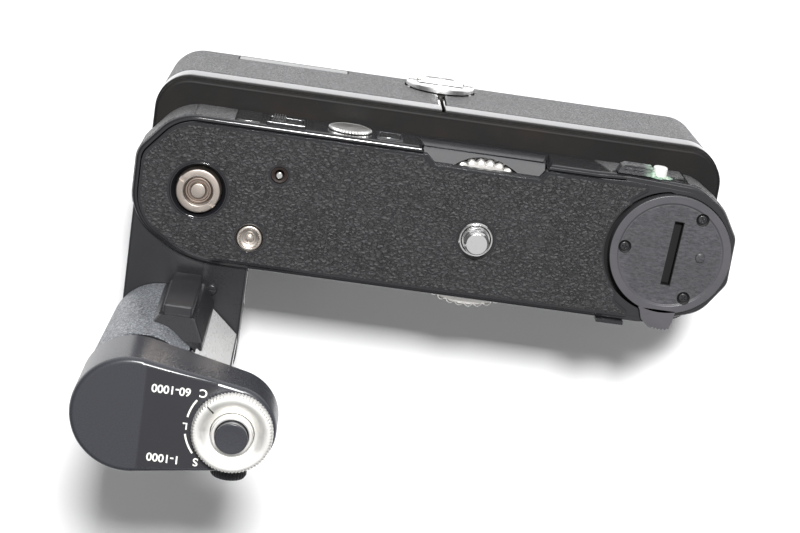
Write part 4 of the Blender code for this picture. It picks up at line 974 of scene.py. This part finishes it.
# lock ring with two grip dents, and its folding bail
dents = [rear(rod(1.3, 0.8, 3, n=40), MID + x, PACK[3], LOCK_Z) for x in (-7.9, 7.9)]
emit("lock", rear(turned([
    (0, -9.0), (2.0, -9.0), (2.0, 0.3), (9.2, 0.3), (9.2, 1.6, 0.45), (7.0, 1.6, 0.2), (6.9, 1.0, 0.1),
    (0, 1.0)], n=128), MID, PACK[3], LOCK_Z),
     metal("lock_chrome", (0.86, 0.86, 0.85), 0.2, (MID + SHIFT.x, LOCK_Z), "XZ", brushed=0.12), "lock",
     "lock_disc", cut=dents)
bail = soften([
    (-6.4, -0.3, 0.4), (6.4, -0.3, 0.4), (6.4, 2.0, 1.5), (4.6, 5.0, 1.5), (0.0, 6.2, 6.0),
    (-4.6, 5.0, 1.5), (-6.4, 2.0, 1.5)], seg=6)
hole = soften([
    (-4.6, 1.8, 0.3), (4.6, 1.8, 0.3), (4.6, 2.2, 0.4), (3.4, 3.8, 0.8), (0.0, 4.6, 4.0), (-3.4, 3.8, 0.8),
    (-4.6, 2.2, 0.4)], seg=5)
emit("bail", rear(slab(bail, 1.25, 2.35), MID, PACK[3], LOCK_Z), CHROME, "bail", "lock_bail",
     cut=[rear(slab(hole, 0.5, 3.0), MID, PACK[3], LOCK_Z)], bevel=0.25, steps=3)

# ---- CAD nodes kept as they are
k = Look("circuit_green", specular=0.5)
trace = k.fit(k.cells(0.8, "DISTANCE_TO_EDGE", None, 0.0), 0.06, 0.09)
BOARD = k.done(k.mix(trace, (0.10, 0.22, 0.11), (0.03, 0.11, 0.05)), k.fit(k.noise(1.0), 0.3, 0.7, 0.3, 0.45),
               k.bump(trace, 0.03))
BRASS_NODES = ("supply_contact_left", "supply_contact_right", "left_contact", "right_contact", "idler_gear")
KEPT = {"circuit_board": BOARD, **dict.fromkeys(BRASS_NODES, BRASS),
        **dict.fromkeys(("motor_rotor", "motor_can", "key_shaft", "terminal_socket"), STEEL)}
for node, look in KEPT.items():
    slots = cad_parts[node].data.materials
    for i in range(len(slots)):
        slots[i] = look.mat

# ---- floor, lights, camera
FLOOR = mottled("floor_paper", ((0.86, 0.86, 0.87), (0.90, 0.90, 0.905)), (0.004, 3.0), (0.7, 0.85),
                (0.02, 3.0), 0.02, (0.8, 3.0), specular=0.2)
floor = plain_object("floor", box(-4, 4, -4, 4, -0.02, -0.0002))
floor.data.materials.append(FLOOR.mat)

world = bpy.data.worlds.new("studio")
world.use_nodes = True
world.node_tree.nodes["Background"].inputs["Color"].default_value = (1.0, 1.0, 1.0, 1.0)
world.node_tree.nodes["Background"].inputs["Strength"].default_value = 0.11
SCENE.world = world
SCENE.view_settings.view_transform = "Standard"


def softbox(name, place, aim, size, power):
    """Rectangular lamp; place, aim and size in metres, power in watts."""
    data = bpy.data.lights.new(name, "AREA")
    data.shape = "RECTANGLE"
    data.size, data.size_y = size
    data.energy = power
    ob = bpy.data.objects.new(name, data)
    ob.location = place
    ob.rotation_mode = "QUATERNION"
    ob.rotation_quaternion = (Vector(aim) - Vector(place)).to_track_quat("-Z", "Y")
    SCENE.collection.objects.link(ob)


softbox("key", (0.0, 0.47, 0.93), (0.0, 0.0, 0.05), (0.13, 0.13), 16.5)
softbox("rear_card", (0.0, 1.2, 0.36), (0.0, 0.0, 0.36), (2.4, 0.9), 4.6)
softbox("top_card", (0.0, -0.25, 1.2), (0.0, -0.25, 0.0), (1.6, 1.2), 3.2)

cam = bpy.data.objects.new("camera", bpy.data.cameras.new("camera"))
cam.data.sensor_width = 36.0
cam.data.lens = 85.25
cam.data.clip_start, cam.data.clip_end = 0.05, 20.0
right = Vector((0.98921, 0.14557, 0.01628))
up = Vector((-0.13593, 0.95369, -0.26830))
back = Vector((-0.05458, 0.26320, 0.96319))
cam.rotation_mode = "QUATERNION"
cam.rotation_quaternion = Matrix((right, up, back)).transposed().to_quaternion()
cam.location = Vector((-31.49, 124.165, 517.27)) * MM
SCENE.collection.objects.link(cam)
SCENE.camera = cam
